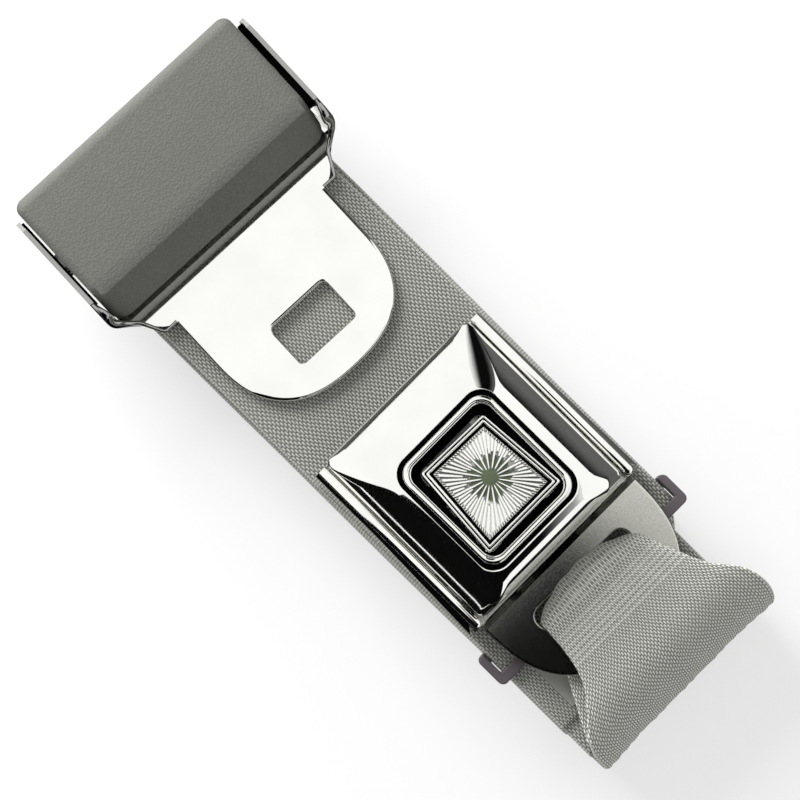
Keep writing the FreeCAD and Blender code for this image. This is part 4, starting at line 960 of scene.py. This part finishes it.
class LAPBELT_OT_stage(bpy.types.Operator):
    """Floor, soft lights, surroundings and the camera"""

    bl_idname = "lapbelt.stage"
    bl_label = "Stage"

    def execute(self, context):
        scene = context.scene
        scene.view_settings.view_transform = "Standard"
        self.floor()
        self.surroundings(scene)
        self.boards()
        light = bpy.data.lights.new("overhead", "AREA")
        light.shape = "RECTANGLE"
        light.size, light.size_y = LAMP_SIZE
        light.energy = LAMP_WATTS
        lamp = linked("overhead", light)
        lamp.location = LAMP_PLACE
        lamp.rotation_euler = (-lamp.location).to_track_quat("-Z", "Y").to_euler()
        lamp.visible_glossy = False
        self.camera(scene)
        return {"FINISHED"}

    def floor(self):
        """A floor that the camera and polished metal see as mostly white, with a faint shadow."""
        made = Recipe("floor", colours().floor, 0.0, 0.9)
        made.tune({"Specular IOR Level": 0.0})
        path = made.add("LightPath")
        seen = made.maths("MAXIMUM", path.outputs["Is Camera Ray"], path.outputs["Is Glossy Ray"])
        glow = made.add("Emission", {"Color": WHITE, "Strength": 1.0})
        mixed = made.add("MixShader", {"Fac": made.maths("MULTIPLY", seen, FLOOR_GLOW)})
        made.set(mixed.inputs[1], made.shader.outputs[0])
        made.set(mixed.inputs[2], glow.outputs[0])
        made.set(made.tree.nodes["Material Output"].inputs["Surface"], mixed.outputs[0])
        stage_sheet("floor", level_corners(-FLOOR_REACH, FLOOR_REACH, -FLOOR_REACH, FLOOR_REACH, 0.0), made)

    def surroundings(self, scene):
        """White all round to the camera and in polished metal, and a soft fill light for everything else."""
        world = bpy.data.worlds.new("surroundings")
        scene.world = world
        world.use_nodes = True
        nodes, links = world.node_tree.nodes, world.node_tree.links
        nodes.clear()
        path = nodes.new("ShaderNodeLightPath")
        seen = path.outputs["Is Camera Ray"]
        for ray in ("Is Glossy Ray", "Is Transmission Ray"):
            either = nodes.new("ShaderNodeMath")
            either.operation = "MAXIMUM"
            links.new(seen, either.inputs[0])
            links.new(path.outputs[ray], either.inputs[1])
            seen = either.outputs[0]
        mixed = nodes.new("ShaderNodeMixShader")
        links.new(seen, mixed.inputs[0])
        for socket, strength in ((1, FILL_STRENGTH), (2, 1.0)):
            light = nodes.new("ShaderNodeBackground")
            light.inputs["Color"].default_value = WHITE
            light.inputs["Strength"].default_value = strength
            links.new(light.outputs[0], mixed.inputs[socket])
        links.new(mixed.outputs[0], nodes.new("ShaderNodeOutputWorld").inputs[0])

    def boards(self):
        """Dark boards round the belt, as in a product studio, which draw the dark lines in the chrome."""
        near = [(-0.2, -0.14, 0.003), (0.4, -0.14, 0.003), (0.4, -0.14, 0.5), (0.034, -0.14, 0.5),
                (0.012, -0.14, 0.075), (-0.2, -0.14, 0.05)]
        hip = [(-0.17, 0.155, 0.0), (-0.02, 0.21, 0.0), (-0.02, 0.21, 0.6), (-0.17, 0.155, 0.28)]
        hip_fades = [(0, -0.115, -0.168, 1.0), (0, -0.065, -0.022, 0.14)]
        above = level_corners(0.043, 0.13, -0.075, 0.028, 0.095)
        far = upright_corners((-0.2, 0.12), (0.3, 0.12), 0.0, 0.036)
        board("board_far", far, 0.14, [(2, 0.0, 0.036, 0.01)])
        board("board_far_floor", level_corners(-0.2, 0.3, 0.027, 0.12, 0.001), 0.11)
        board("board_near", near, BOARD_SHADE)
        board("board_near_floor", level_corners(-0.2, 0.4, -0.138, -0.027, 0.001), BOARD_SHADE)
        board("board_end", upright_corners((0.17, -0.2), (0.17, 0.12), 0.0, 0.036), 0.01)
        board("board_hip", hip, 0.005, hip_fades)
        board("board_above", above, BOARD_SHADE, [(1, 0.002, 0.024, 0.9)])
        board("board_rear", level_corners(0.08, 0.205, -0.1, 0.06, 0.2), BOARD_SHADE)

    def camera(self, scene):
        """From above, a little towards -Y, turned so that the belt lies across the picture's diagonal."""
        azimuth, elevation, roll = (math.radians(a) for a in CAMERA_ANGLES)
        back = Vector((math.cos(elevation) * math.cos(azimuth), math.cos(elevation) * math.sin(azimuth),
                       math.sin(elevation)))
        right = (-back).cross(Vector((0, 0, 1))).normalized()
        up = right.cross(-back)
        turned_right = right * math.cos(roll) + up * math.sin(roll)
        turned_up = up * math.cos(roll) - right * math.sin(roll)
        data = bpy.data.cameras.new("camera")
        data.sensor_width = SENSOR_WIDTH
        data.lens = SENSOR_WIDTH * CAMERA_DISTANCE * PIXELS_PER_MM / PICTURE_SIDE
        data.clip_start, data.clip_end = 0.05, 20.0
        camera = linked("camera", data)
        rotation = Matrix((turned_right, turned_up, back)).transposed()
        at = (Vector(CAMERA_TARGET) + back * CAMERA_DISTANCE) * MILLIMETRE
        camera.matrix_world = Matrix.Translation(at) @ rotation.to_4x4()
        scene.camera = camera


class LAPBELT_OT_hood(bpy.types.Operator):
    """Chrome hood of the buckle, with the rolled rim round the button and a black strip in the groove outside
    it as painted shade
    """

    bl_idname = "lapbelt.hood"
    bl_label = "Hood"

    def execute(self, context):
        w, z, inset = self.profile()
        piece = lattice("buckle_hood", hood_ring(w, inset, z), wrap_rows=True)
        dress(piece, "cover_chrome", "buckle_half", "buckle_cover")
        # A black strip lies in the groove outside the rim: painted shade of the groove
        near, far = GROOVE_INSET
        low, high = GROOVE_Z
        groove = hood_ring(np.ones(4), np.array([near, near, far, far]), np.array([low, high, high, low]))
        piece = lattice("hood_groove_shadow", groove, wrap_rows=True)
        crease(piece.data)
        dress(piece, "black_plastic", "buckle_half")
        return {"FINISHED"}

    def profile(self):
        """The hood's section: share of the slope, height and inset, from the skirt inwards and back.

        A slope's height is its rise times 1 - (1 - w) ** crown, so that it is steep at the foot and flat
        at the rim. The rim is a bead with a groove outside it, and the inside follows the outside.
        """
        crown = sizes().hood_crown
        rise = HOOD_TOP_Z - HOOD_SHOULDER_Z
        w = np.concatenate([
            [0, 0, 0, 0, 0.004, 0.012, 0.025], np.linspace(0.05, 0.95, 28), [0.97, 0.985, 0.994, 1.0],
        ])
        z = HOOD_SHOULDER_Z + rise * (1 - (1 - w) ** crown)
        z[:4] = [HOOD_BASE_Z + 0.1, HOOD_BASE_Z, HOOD_BASE_Z + 0.2, HOOD_SHOULDER_Z - 0.5]
        z[4:7] += [-0.22, -0.10, -0.03]
        inset = np.zeros_like(w)
        inset[0] = 0.25
        bead = np.array(RIM_BEAD)
        inner_w = np.linspace(1.0, 0.0, 12)
        inner_inset = 1.2 + 0.25 * inner_w
        inner_z = HOOD_SHOULDER_Z - 0.9 + (rise - 0.85) * (1 - (1 - inner_w) ** crown)
        all_w = np.concatenate([w, np.ones(len(bead)), inner_w, [0, 0]])
        all_z = np.concatenate([z, bead[:, 1], inner_z, [HOOD_BASE_Z + 0.2, HOOD_BASE_Z]])
        all_inset = np.concatenate([inset, bead[:, 0], inner_inset, [1.2, 1.0]])
        return all_w, all_z, all_inset


class LAPBELT_OT_button(bpy.types.Operator):
    """Push button with its double frame, black moat and fluted insert"""

    bl_idname = "lapbelt.button"
    bl_label = "Button"

    def execute(self, context):
        repaint("button_bezel", "black_plastic")
        rings = [self.ring(inset, drop, max(0.5 - 0.25 * inset, 0.15)) for inset, drop in FRAME_STEPS]
        piece = lattice("button_frame", np.stack(rings), wrap_rows=True)
        dress(piece, "button_chrome", "button", "push_button")
        rings = [self.ring(inset, drop, 0.3) for inset, drop in BLOCK_STEPS]
        piece = lattice("button_block", np.stack(rings))
        crease(piece.data)
        dress(piece, "black_plastic", "button", "push_button")
        self.insert()
        return {"FINISHED"}

    def ring(self, inset, drop, corner):
        return outline_ring(inset_corners(BUTTON_OUTLINE, inset), corner, BUTTON_TOP_Z - drop)

    def reach(self, corners, direction):
        """How far the insert's outline lies from its middle in each direction."""
        reach = np.full(len(direction), 1e9)
        for k in range(4):
            a, edge = corners[k] - INSERT_MIDDLE, corners[(k + 1) % 4] - corners[k]
            cross = direction[:, 0] * edge[1] - direction[:, 1] * edge[0]
            away = (a[0] * edge[1] - a[1] * edge[0]) / np.where(abs(cross) < 1e-9, 1e-9, cross)
            reach = np.where((away > 0) & (away < reach), away, reach)
        return reach

    def insert(self):
        """Fluted plate on a grid of angles and radii.

        Rays stand at even angles. A ray is full height where its distance from its middle line is under its
        half width, which grows with the radius, and two rays in three start further out. Between the rays
        the plate is lower by the depth. The edge is a row of beads by the length round the outline.
        """
        flutes, depth = sizes().flute_count, sizes().flute_depth
        count = flutes * POINTS_PER_RAY
        angle = np.linspace(0, 2 * np.pi, count, endpoint=False)
        direction = np.stack([np.cos(angle), np.sin(angle)], 1)
        reach = self.reach(inset_corners(BUTTON_OUTLINE, INSERT_INSET), direction)
        t = np.concatenate([
            [0.0], np.linspace(0.03, 0.925, 40), [0.935, 0.95, 0.965, 0.98, 0.992, 1.0, 1.0, 1.0, 0.0],
        ])
        radius = t[:, None] * reach
        pitch = 2 * np.pi / flutes
        ray = np.round(angle / pitch)
        off = np.abs(angle - ray * pitch) * radius
        full = ray % FULL_RAY_EVERY == 0
        chance = scatter(ray, *RAY_SCATTER)
        start = np.where(full, *(least + more * chance for least, more in (FULL_RAY_START, SHORT_RAY_START)))
        half_width = np.minimum(0.09 + 0.026 * radius, np.where(full, 1.0, 0.37) * pitch * radius)
        silver = np.clip((half_width - off) / 0.07 + 0.5, 0, 1) * np.clip((radius - start) / 0.25, 0, 1)
        paint_end = PAINT_END[0] + PAINT_END[1] * scatter(np.floor(angle / pitch), *PAINT_SCATTER)
        paint = np.clip((paint_end - radius) / 0.5, 0, 1)
        deepening = depth * np.clip(radius / 3.0, 0.25, 1.0)
        z = BUTTON_TOP_Z - INSERT_DEPTH - deepening + silver * deepening
        plan = INSERT_MIDDLE + reach[:, None] * direction
        travel = np.concatenate([[0], np.cumsum(np.linalg.norm(np.diff(plan, axis=0), axis=1))])
        beads = np.clip((np.abs(np.cos(travel * np.pi / BEAD_PITCH)) - 0.35) / 0.4, 0, 1)
        rim = np.clip((t[:, None] - 0.928) / 0.01, 0, 1) * np.clip((1.0 - t[:, None]) / 0.02, 0, 1)
        z = z * (1 - rim) + (BUTTON_TOP_Z - BEAD_FOOT_DEPTH + BEAD_RISE * beads) * rim
        z[-4] = BUTTON_TOP_Z - INSERT_EDGE_DEPTH
        z[-3:] = BUTTON_TOP_Z - INSERT_UNDER_DEPTH
        x, y = (middle + radius * direction[:, axis] for axis, middle in enumerate(INSERT_MIDDLE))
        piece = self.skin(np.stack([x, y, z], -1))
        fill = (1 - silver) * paint * (1 - rim)
        # Painted dark reflection in the outer hollows, strongest in two opposite sectors round the insert,
        # and painted shade between the rim's beads
        reflection_sector = 0.1 + 0.8 * np.cos(angle - PAINTED_REFLECTION_ANGLE) ** 2
        painted_dark = (1 - silver) * (1 - paint) * reflection_sector * (1 - rim) + rim * (1 - beads)
        for name, share in (("fill", fill), ("painted_dark", painted_dark)):
            share[-4:] = 0.0
            flat = np.concatenate([[share[0, 0]], share[1:-1].ravel(), [0.0]])
            layer = piece.data.attributes.new(name, "FLOAT", "POINT")
            layer.data.foreach_set("value", flat.astype(np.float32))
        dress(piece, "insert_metal", "button", "button_insert")

    def skin(self, grid):
        """A closed skin over rings of points whose first and last ring are single points."""
        rings = grid[1:-1]
        rows, columns = rings.shape[:2]
        vertices = place(np.concatenate([grid[:1, 0], rings.reshape(-1, 3), grid[-1:, 0]]))
        i, j = np.meshgrid(np.arange(rows - 1), np.arange(columns), indexing="ij")
        k, start = (j + 1) % columns, 1 + i * columns
        quads = np.stack([start + j, start + columns + j, start + columns + k, start + k], -1)
        ring = np.arange(columns)
        after = (ring + 1) % columns
        outer = 1 + (rows - 1) * columns
        middle = np.stack([np.zeros(columns, int), 1 + ring, 1 + after], 1)
        under = np.stack([outer + ring, np.full(columns, len(vertices) - 1), outer + after], 1)
        faces = quads.reshape(-1, 4).tolist() + middle.tolist() + under.tolist()
        if signed_volume(vertices, faces) < 0:
            faces = [face[::-1] for face in faces]
        return mesh_object("button_rays", vertices, faces)


class LAPBELT_OT_tongue(bpy.types.Operator):
    """Tongue with its window, the plate behind it, the flanges' rims and their swept ends"""

    bl_idname = "lapbelt.tongue"
    bl_label = "Tongue"

    def execute(self, context):
        rear_only = ((FLOOR_REAR_X, 0, 0), (1, 0, 0))
        below_gap = ((0, 0, GAP_LOW_Z), (0, 0, 1))
        self.finish(softened("tongue_plate", "plate_rear", 0.3, cuts=(rear_only, below_gap)))
        for side, name in ((1, "left"), (-1, "right")):
            inner = ((0, side * (FLANGE_HALF - WALL), 0), (0, -side, 0))
            below = ((0, 0, GAP_LOW_Z - 0.3), (0, 0, -1))
            behind = ((FLANGE_CUT_X, 0, 0), (1, 0, 0))
            wall = softened("tongue_plate", "flange_wall_" + name, 0.45, 4, cuts=(behind, below, inner))
            # The flange walls and their ends take the darker copy of the chrome, which paints their shade
            self.finish(wall, "flange_chrome_painted_shade")
            # A black strip in the gap between the flange and the cap: painted shadow
            across = sorted(side * y for y in (SHADOW_STRIP_INNER_Y[side], SHADOW_STRIP_OUTER_Y))
            shadow_strip = askew(plain_bar("flange_shadow_strip_" + name, SHADOW_STRIP_X, across, SHADOW_STRIP_Z))
            dress(shadow_strip, "black_plastic", "tongue_half")
            self.finish(self.sweep("flange_end_" + name, side), "flange_chrome_painted_shade")
        self.finish(self.tongue())
        self.finish(self.floor())
        return {"FINISHED"}

    def finish(self, piece, look=None):
        dress(askew(piece), "tongue_chrome", "tongue_half", "tongue_plate", look=look)

    def tongue(self):
        """The tongue, with its window. Its rear window edge is rounded over further than the others."""
        outline = plate_outline(TONGUE_SIDE_X, TONGUE_TIP_X, NECK_X, TONGUE_HALF, TONGUE_POWER)
        window = rounded_ring(WINDOW_REAR_X, WINDOW_FRONT_X, WINDOW_HALF, corner=1.1, z=0.0, arc=11, side=45)
        return pierced_plate("tongue_blade", outline, window[0, :, :2], PLATE_LOW_Z, PLATE_TOP_Z,
                             edge=0.85, soften=(0.26, 0.75))

    def floor(self):
        """The plate between the tongue and the cap, which slopes down to a hollow in front of the cap."""
        x = np.concatenate([[NECK_X], np.arange(-43.3, -45.4, -0.7), np.arange(-45.5, -51.4, -0.2),
                            [-52.2, FLOOR_REAR_X]])
        half = np.interp(-x, [42.8, 43.4, 44.2, 46.4, 48.5, 49.9, 51.2, 53.4],
                         [20.5, 22.2, 23.3, 25.2, 27.8, 29.7, 30.6, 30.8])
        run = -46.5 - x
        drop = np.minimum(0.3 * 0.5 * (run + np.sqrt(run**2 + 0.2)), 1.45)
        drop[x > -45.4] = 0.0
        y = half[:, None] * np.sin(np.linspace(-0.5, 0.5, 31) * np.pi)
        over = np.stack(np.broadcast_arrays(x[:, None], y, (PLATE_TOP_Z - drop)[:, None]), -1)
        under = over.copy()
        under[..., 2] = PLATE_LOW_Z
        piece = lattice("plate_front", np.concatenate([over, under[:, ::-1]], 1))
        crease(piece.data)
        return piece

    def sweep(self, name, side):
        """The flange's end: a wall with a round top that falls and thins as it sweeps in to the neck."""
        corners = [(-57.6, FLANGE_HALF), (-50.9, FLANGE_HALF), (-47.7, 26.4), (NECK_X + 0.05, 23.7),
                   (NECK_X + 0.05, 20.35)]
        path = rounded_path(corners, [2.6, 3.4, 1.2], step=0.35)
        along, tangent = run_of(path)
        outward = np.stack([-tangent[:, 1], tangent[:, 0]], 1)
        x = path[:, 0]
        top = np.interp(x, [-57.6, -56.4, -54.6, -52.8, -51.2, -50.2, -49.4, -48.6, -47.4, -42.7],
                        [30.6, 31.5, 31.3, 30.5, 28.8, 26.8, 25.0, 23.8, 23.1, 22.75])
        wall = np.interp(x, [-57.6, -56.4, -54.0, -52.4, -50.8, -49.6, -48.4, -42.7],
                         [WALL, WALL, 1.7, 2.1, 1.9, 1.2, 0.85, 0.65])
        top, wall = eased(top, along, reach=2.4), eased(wall, along, reach=2.0)
        a = np.linspace(0, np.pi, 15)
        offset = wall[:, None] / 2 * (1 - np.cos(a))
        low = np.full((len(path), 1), PLATE_LOW_Z + 0.05)
        z = np.concatenate([low, top[:, None] - wall[:, None] / 2 * (1 - np.sin(a)), low], 1)
        offset = np.concatenate([offset[:, :1], offset, offset[:, -1:]], 1)
        plan = path[:, None] - outward[:, None] * offset[..., None]
        piece = lattice(name, np.stack([plan[..., 0], side * plan[..., 1], z], -1))
        crease(piece.data, 50.0)
        return piece


class LAPBELT_OT_metalwork(bpy.types.Operator):
    """Housing, frame with its D-plate, anchor plates and the mechanism inside"""

    bl_idname = "lapbelt.metalwork"
    bl_label = "Metalwork"

    def execute(self, context):
        housing = softened("buckle_housing", "housing_polished", 0.25, reshape=self.flared)
        dress(housing, "housing_chrome", "buckle_half", "buckle_housing")
        plate_off = ((D_PLATE_CUT_X, 0, 0), (1, 0, 0))
        front = softened("buckle_frame", "frame_plated", 0.4, 3, cuts=(plate_off,))
        dress(front, "frame_zinc", "buckle_half", "buckle_frame")
        bar = askew(softened("adjuster_bar", "bar_knurled", 0.2))
        dress(bar, "bar_steel", "adjuster_bar", "adjuster_bar")
        for node, key in (
            ("tongue_anchor_plate", "anchor_steel"), ("buckle_anchor_plate", "anchor_steel"),
            ("latch_lever", "lever_steel"), ("latch_pin", "pin_steel"), ("latch_spring", "spring_steel"),
            ("ejector_springs", "spring_steel"), ("ejector", "ejector_plastic"),
        ):
            repaint(node, key)
        outline = plate_outline(D_PLATE_SIDE_X, D_PLATE_TIP_X, D_PLATE_BACK_X, D_PLATE_HALF, D_PLATE_POWER)
        outline[:, 1] += D_PLATE_CENTRE_Y
        slot = rounded_ring(SLOT_REAR_X, SLOT_FRONT_X, SLOT_HALF, corner=2.4, z=0.0, arc=11, side=45)
        plate = pierced_plate("d_plate", outline, slot[0, :, :2], D_PLATE_LOW_Z, D_PLATE_TOP_Z,
                              edge=0.55, soften=(0.4, 0.0))
        dress(plate, "frame_zinc", "buckle_half", "buckle_frame", look="d_plate")
        return {"FINISHED"}

    def flared(self, points):
        """Lets the housing's side walls lean out towards their foot."""
        foot = (np.abs(points[:, 1]) > FOOT_OUTSIDE_Y) & (points[:, 2] < FOOT_BELOW_Z)
        points[foot, 1] += np.sign(points[foot, 1]) * FOOT_LEAN
        return points


class LAPBELT_OT_mouldings(bpy.types.Operator):
    """Grained cap over the adjuster and the webbing keeper"""

    bl_idname = "lapbelt.mouldings"
    bl_label = "Mouldings"

    def execute(self, context):
        cap = softened("adjuster_cap", "cap_grained", 1.0, 4, reshape=self.longer_top)
        dress(askew(cap), "cap_plastic", "tongue_half", "adjuster_cap")
        keeper = softened("webbing_keeper", "keeper_moulded", 0.35)
        dress(keeper, "keeper_plastic", "keeper", "webbing_keeper")
        return {"FINISHED"}

    def longer_top(self, points):
        """Carries the cap's top forward over its front slope, its rear a little forward, and one side out."""
        x, z = points[:, 0].copy(), points[:, 2].copy()
        top_edge = (x > CAP_TOP_EDGE_X[0]) & (x < CAP_TOP_EDGE_X[1]) & (z > CAP_TOP_ABOVE_Z)
        points[top_edge, 0] += CAP_TOP_MOVE
        points[:, 0] += CAP_REAR_MOVE * np.clip((CAP_REAR_X - x) / CAP_REAR_LENGTH, 0, 1)
        points[points[:, 1] < 0, 1] *= CAP_SIDE_GROWTH
        return points


class LAPBELT_OT_webbing(bpy.types.Operator):
    """Long webbing: loop on the anchor, folded runs, round the bar, and the tail on top"""

    bl_idname = "lapbelt.webbing"
    bl_label = "Webbing"

    def execute(self, context):
        path = rounded_path(*self.route(), step=2.0)
        along = run_of(path)[0]
        half, centre = self.edges(path, along)
        piece = band("webbing_long", path, half, centre, self.lift, sizes().webbing_thickness)
        self.follow_tongue(piece.data)
        dress(piece, "webbing", "tongue_half", "tongue_webbing")
        repaint("webbing_label", "label_cloth")
        return {"FINISHED"}

    def edges(self, path, along):
        """Half the width and the middle of the webbing along its path, in mm.

        The middle wanders by two slow sines. The ends draw in towards the anchor, the folded runs narrow
        inside the strap's fold, and the tail on top follows its own places.
        """
        x, z = path[:, 0], path[:, 1]
        half = np.full(len(path), sizes().webbing_width / 2)
        centre = 0.3 * np.sin(along / 61.0) + 0.15 * np.sin(along / 23.0 + 1.0)
        near_anchor = (z < FIRST_RUN_Z - 0.2) & (x < RAMP_X[1])
        half = laid(half, near_anchor, x, RAMP_X, [18.0, 25.0])
        centre = np.where(near_anchor, 0.0, centre)
        narrowed = (x > NARROWING_X[0]) & (z >= FIRST_RUN_Z - 0.2)
        half = laid(half, narrowed, x, NARROWING_X, [25.0, 22.7])
        centre = laid(centre, narrowed, x, NARROWING_X, [0.0, -2.25])
        on_top = z > TAIL_Z - 0.8
        half, centre = np.where(on_top, 24.8, half), np.where(on_top, -0.3, centre)
        lying = on_top & (z < TAIL_Z + 2.0) & (x > TAIL_STATIONS[0])
        half = laid(half, lying, x, TAIL_STATIONS, [24.6, 24.5, 24.8, 24.9, 24.9, 22.6])
        centre = laid(centre, lying, x, TAIL_STATIONS, [-0.3, -0.3, -0.05, 0.1, 0.1, -2.1])
        return half, centre

    def follow_tongue(self, mesh):
        """Turns the wrap round the adjuster with the tongue: x grows by y times the turn's sine."""
        points = np.empty(len(mesh.vertices) * 3)
        mesh.vertices.foreach_get("co", points)
        points = points.reshape(-1, 3)
        x, y, z = points.T / MILLIMETRE
        share = np.clip((WRAP_TURN_X - x) / WRAP_TURN_LENGTH, 0, 1)
        share *= np.clip((z - WRAP_TURN_Z) / WRAP_TURN_RISE, 0, 1)
        points[:, 0] += share * y * math.sin(math.radians(sizes().tongue_turn)) * MILLIMETRE
        mesh.vertices.foreach_set("co", points.ravel())
        mesh.update()

    def route(self):
        """Corners of the webbing's path seen from the side, and the arc at each, as the solid has them."""
        ramp_low, ramp_high = RAMP_X
        loop_radius = (ANCHOR_UPPER_Z - GROUND_Z) / 2
        loop_x = TONGUE_ANCHOR_X + WEB_HALF - loop_radius
        points = [
            (SHORT_END_X, SHORT_END_Z), (ramp_high, SHORT_END_Z), (ramp_low, GROUND_Z), (loop_x, GROUND_Z),
            (loop_x, ANCHOR_UPPER_Z), (ramp_low, ANCHOR_UPPER_Z), (ramp_high, FIRST_RUN_Z),
        ]
        radii = [4.0, 4.0, loop_radius, loop_radius, 4.0, 4.0]
        fold = WEB_PITCH / 2
        level = FIRST_RUN_Z
        for run in range(FOLDED_RUNS):
            end = PACK_RIGHT if run % 2 == 0 else PACK_LEFT
            points += [(end, level), (end, level + WEB_PITCH)]
            radii += [fold, fold]
            level += WEB_PITCH
        round_radius = (OVER_BAR_Z - level) / 2
        rear = WRAP_REAR_X - round_radius
        points += [
            (rear, level), (rear, OVER_BAR_Z), (WRAP_RISE_X[0], OVER_BAR_Z), (WRAP_RISE_X[1], WRAP_TOP_Z),
            (WRAP_DROP_X, WRAP_TOP_Z), (WRAP_DROP_X, TAIL_Z), (TAIL_END, TAIL_Z),
            (TAIL_END, TAIL_Z + WEB_PITCH), (TAIL_END - HEM_LENGTH, TAIL_Z + WEB_PITCH),
        ]
        radii += [round_radius, round_radius, 1.2, 2.6, 3.6, 3.0, fold, fold]
        return points, radii

    def lift(self, along, q):
        """A slight wave of the webbing, off its path: two slow sines along it and one across, in mm."""
        s = along[:, None]
        return 0.06 * np.sin(s / 9.0) * np.cos(q * 2.2) + 0.04 * np.sin(s / 17.0) * q


class LAPBELT_OT_strap(bpy.types.Operator):
    """Gathered strap of the buckle half, sewn through the D-plate and laid round the end of the pack"""

    bl_idname = "lapbelt.strap"
    bl_label = "Strap"

    def execute(self, context):
        path = rounded_path(*self.route(), step=0.9)
        along = run_of(path)[0]
        half, centre = (eased(values, along, reach=4.5) for values in self.edges(path, along))
        piece = band("strap_gathered", path, half, centre, self.lift, sizes().webbing_thickness, across=61,
                     spread=0.4)
        dress(piece, "strap_webbing", "buckle_half", "buckle_webbing")
        return {"FINISHED"}

    def edges(self, path, along):
        """Half the width and the middle of the strap along its path, in mm.

        On top the edges follow STRAP_EDGES. The sewn end, the stretch on the anchor and the strands under
        the pack have tables of their own.
        """
        x, z = path[:, 0], path[:, 1]
        upper = (along < 30.0) | (z > 14.0)
        stations, plus, minus = np.array(STRAP_EDGES).T
        plus, minus = np.interp(x, stations, plus), np.interp(x, stations, minus)
        half = np.where(upper, (plus - minus) / 2, 24.6)
        centre = np.where(upper, (plus + minus) / 2, 0.2)
        sewn_end = along < 22.0
        half = laid(half, sewn_end, x, [53.0, 60.0, 76.6], [13.2, 14.5, 22.5])
        centre = laid(centre, sewn_end, x, [53.0, 76.6], [0.6, -1.0])
        half = laid(half, ~upper & (x < 57.0), x, [41.0, 57.0], [18.0, 24.6])
        low_strands = ~upper & (x > 57.0)
        half = laid(half, low_strands, x, STRAP_LOW_STATIONS, [24.6, 22.4, 22.4, 24.4])
        centre = laid(centre, low_strands, x, STRAP_LOW_STATIONS, [0.2, -2.1, -2.1, 0.0])
        return half, centre

    def route(self):
        """Corners of the strap's path seen from the side, and the arc at each, as the solid has them."""
        loop_radius = (STRAP_UPPER_Z - STRAP_LOWER_Z) / 2
        loop_x = STRAP_LOOP_X + WEB_HALF - loop_radius
        fold_radius = (STRAP_UPPER_Z - GROUND_Z) / 2
        end_x = STRAP_END_X - WEB_HALF
        anchor_radius = (ANCHOR_UPPER_Z - GROUND_Z) / 2
        anchor_x = BUCKLE_ANCHOR_X + WEB_HALF - anchor_radius
        points = [
            (STRAP_TIP_X, STRAP_LOWER_Z), (loop_x, STRAP_LOWER_Z), (loop_x, STRAP_UPPER_Z),
            (end_x, STRAP_UPPER_Z), (end_x, GROUND_Z), (anchor_x, GROUND_Z), (anchor_x, ANCHOR_UPPER_Z),
            (STRAP_RAMP_X[0], ANCHOR_UPPER_Z), (STRAP_RAMP_X[1], GROUND_Z + WEB_PITCH),
            (STRAP_SHORT_END_X, GROUND_Z + WEB_PITCH),
        ]
        return points, [radius for radius in (loop_radius, fold_radius, anchor_radius, 3.0) for _ in range(2)]

    def lift(self, along, q):
        """Outwards off the path, in mm: a crown across the gathered loop, which bulges through the slot, a
        few pleats that die out, and at the fold a slight hollow with small scallops between stitches."""
        s = along[:, None]
        gathered = np.exp(-((s - 29.0) / 10.0) ** 2) * np.clip((s - 19.0) / 3.0, 0, 1)
        crown = 1.5 * gathered * (1 - q**2)
        bulge = 2.9 * np.exp(-((s - 24.4) / 2.6) ** 2) * (1 - np.abs(q + 0.1) ** 2.4)
        pleats = 0.16 * gathered * np.sin(q * 15.0 + 1.0)
        on_fold = np.exp(-((s - 55.0) / 9.0) ** 2)
        wide = np.clip((np.abs(q) * 24.5 - 16.0) / 5.0, 0, 1)
        hollow = -0.9 * on_fold * (1 - wide)
        scallops = on_fold * (0.42 * np.abs(np.sin(q * 24.5 * np.pi / 2.9)) + 0.15 * np.sin(q * 19.0 + 2.0))
        return crown + bulge + pleats + hollow + scallops


CLASSES = (
    LapBeltSizes, LapBeltColours, LAPBELT_OT_stage, LAPBELT_OT_hood, LAPBELT_OT_button, LAPBELT_OT_tongue,
    LAPBELT_OT_metalwork, LAPBELT_OT_mouldings, LAPBELT_OT_webbing, LAPBELT_OT_strap,
)


class LAPBELT_PT_panel(bpy.types.Panel):
    """Sizes, colours and the pieces of the lap belt"""

    bl_label = "Lap belt"
    bl_idname = "LAPBELT_PT_panel"
    bl_space_type = "VIEW_3D"
    bl_region_type = "UI"
    bl_category = "Lap belt"

    def draw(self, context):
        for group in (context.scene.lap_belt_sizes, context.scene.lap_belt_colours):
            box = self.layout.box()
            for name in group.__annotations__:
                box.prop(group, name)
        for cls in CLASSES[2:]:
            self.layout.operator(cls.bl_idname)


def register():
    for cls in CLASSES + (LAPBELT_PT_panel,):
        bpy.utils.register_class(cls)
    bpy.types.Scene.lap_belt_sizes = PointerProperty(type=LapBeltSizes)
    bpy.types.Scene.lap_belt_colours = PointerProperty(type=LapBeltColours)


def unregister():
    del bpy.types.Scene.lap_belt_sizes
    del bpy.types.Scene.lap_belt_colours
    for cls in reversed(CLASSES + (LAPBELT_PT_panel,)):
        bpy.utils.unregister_class(cls)


def main():
    register()
    for step in ("stage", "hood", "button", "tongue", "metalwork", "mouldings", "webbing", "strap"):
        getattr(bpy.ops.lapbelt, step)()
    bpy.context.view_layer.update()


if __name__ == "__main__":
    main()
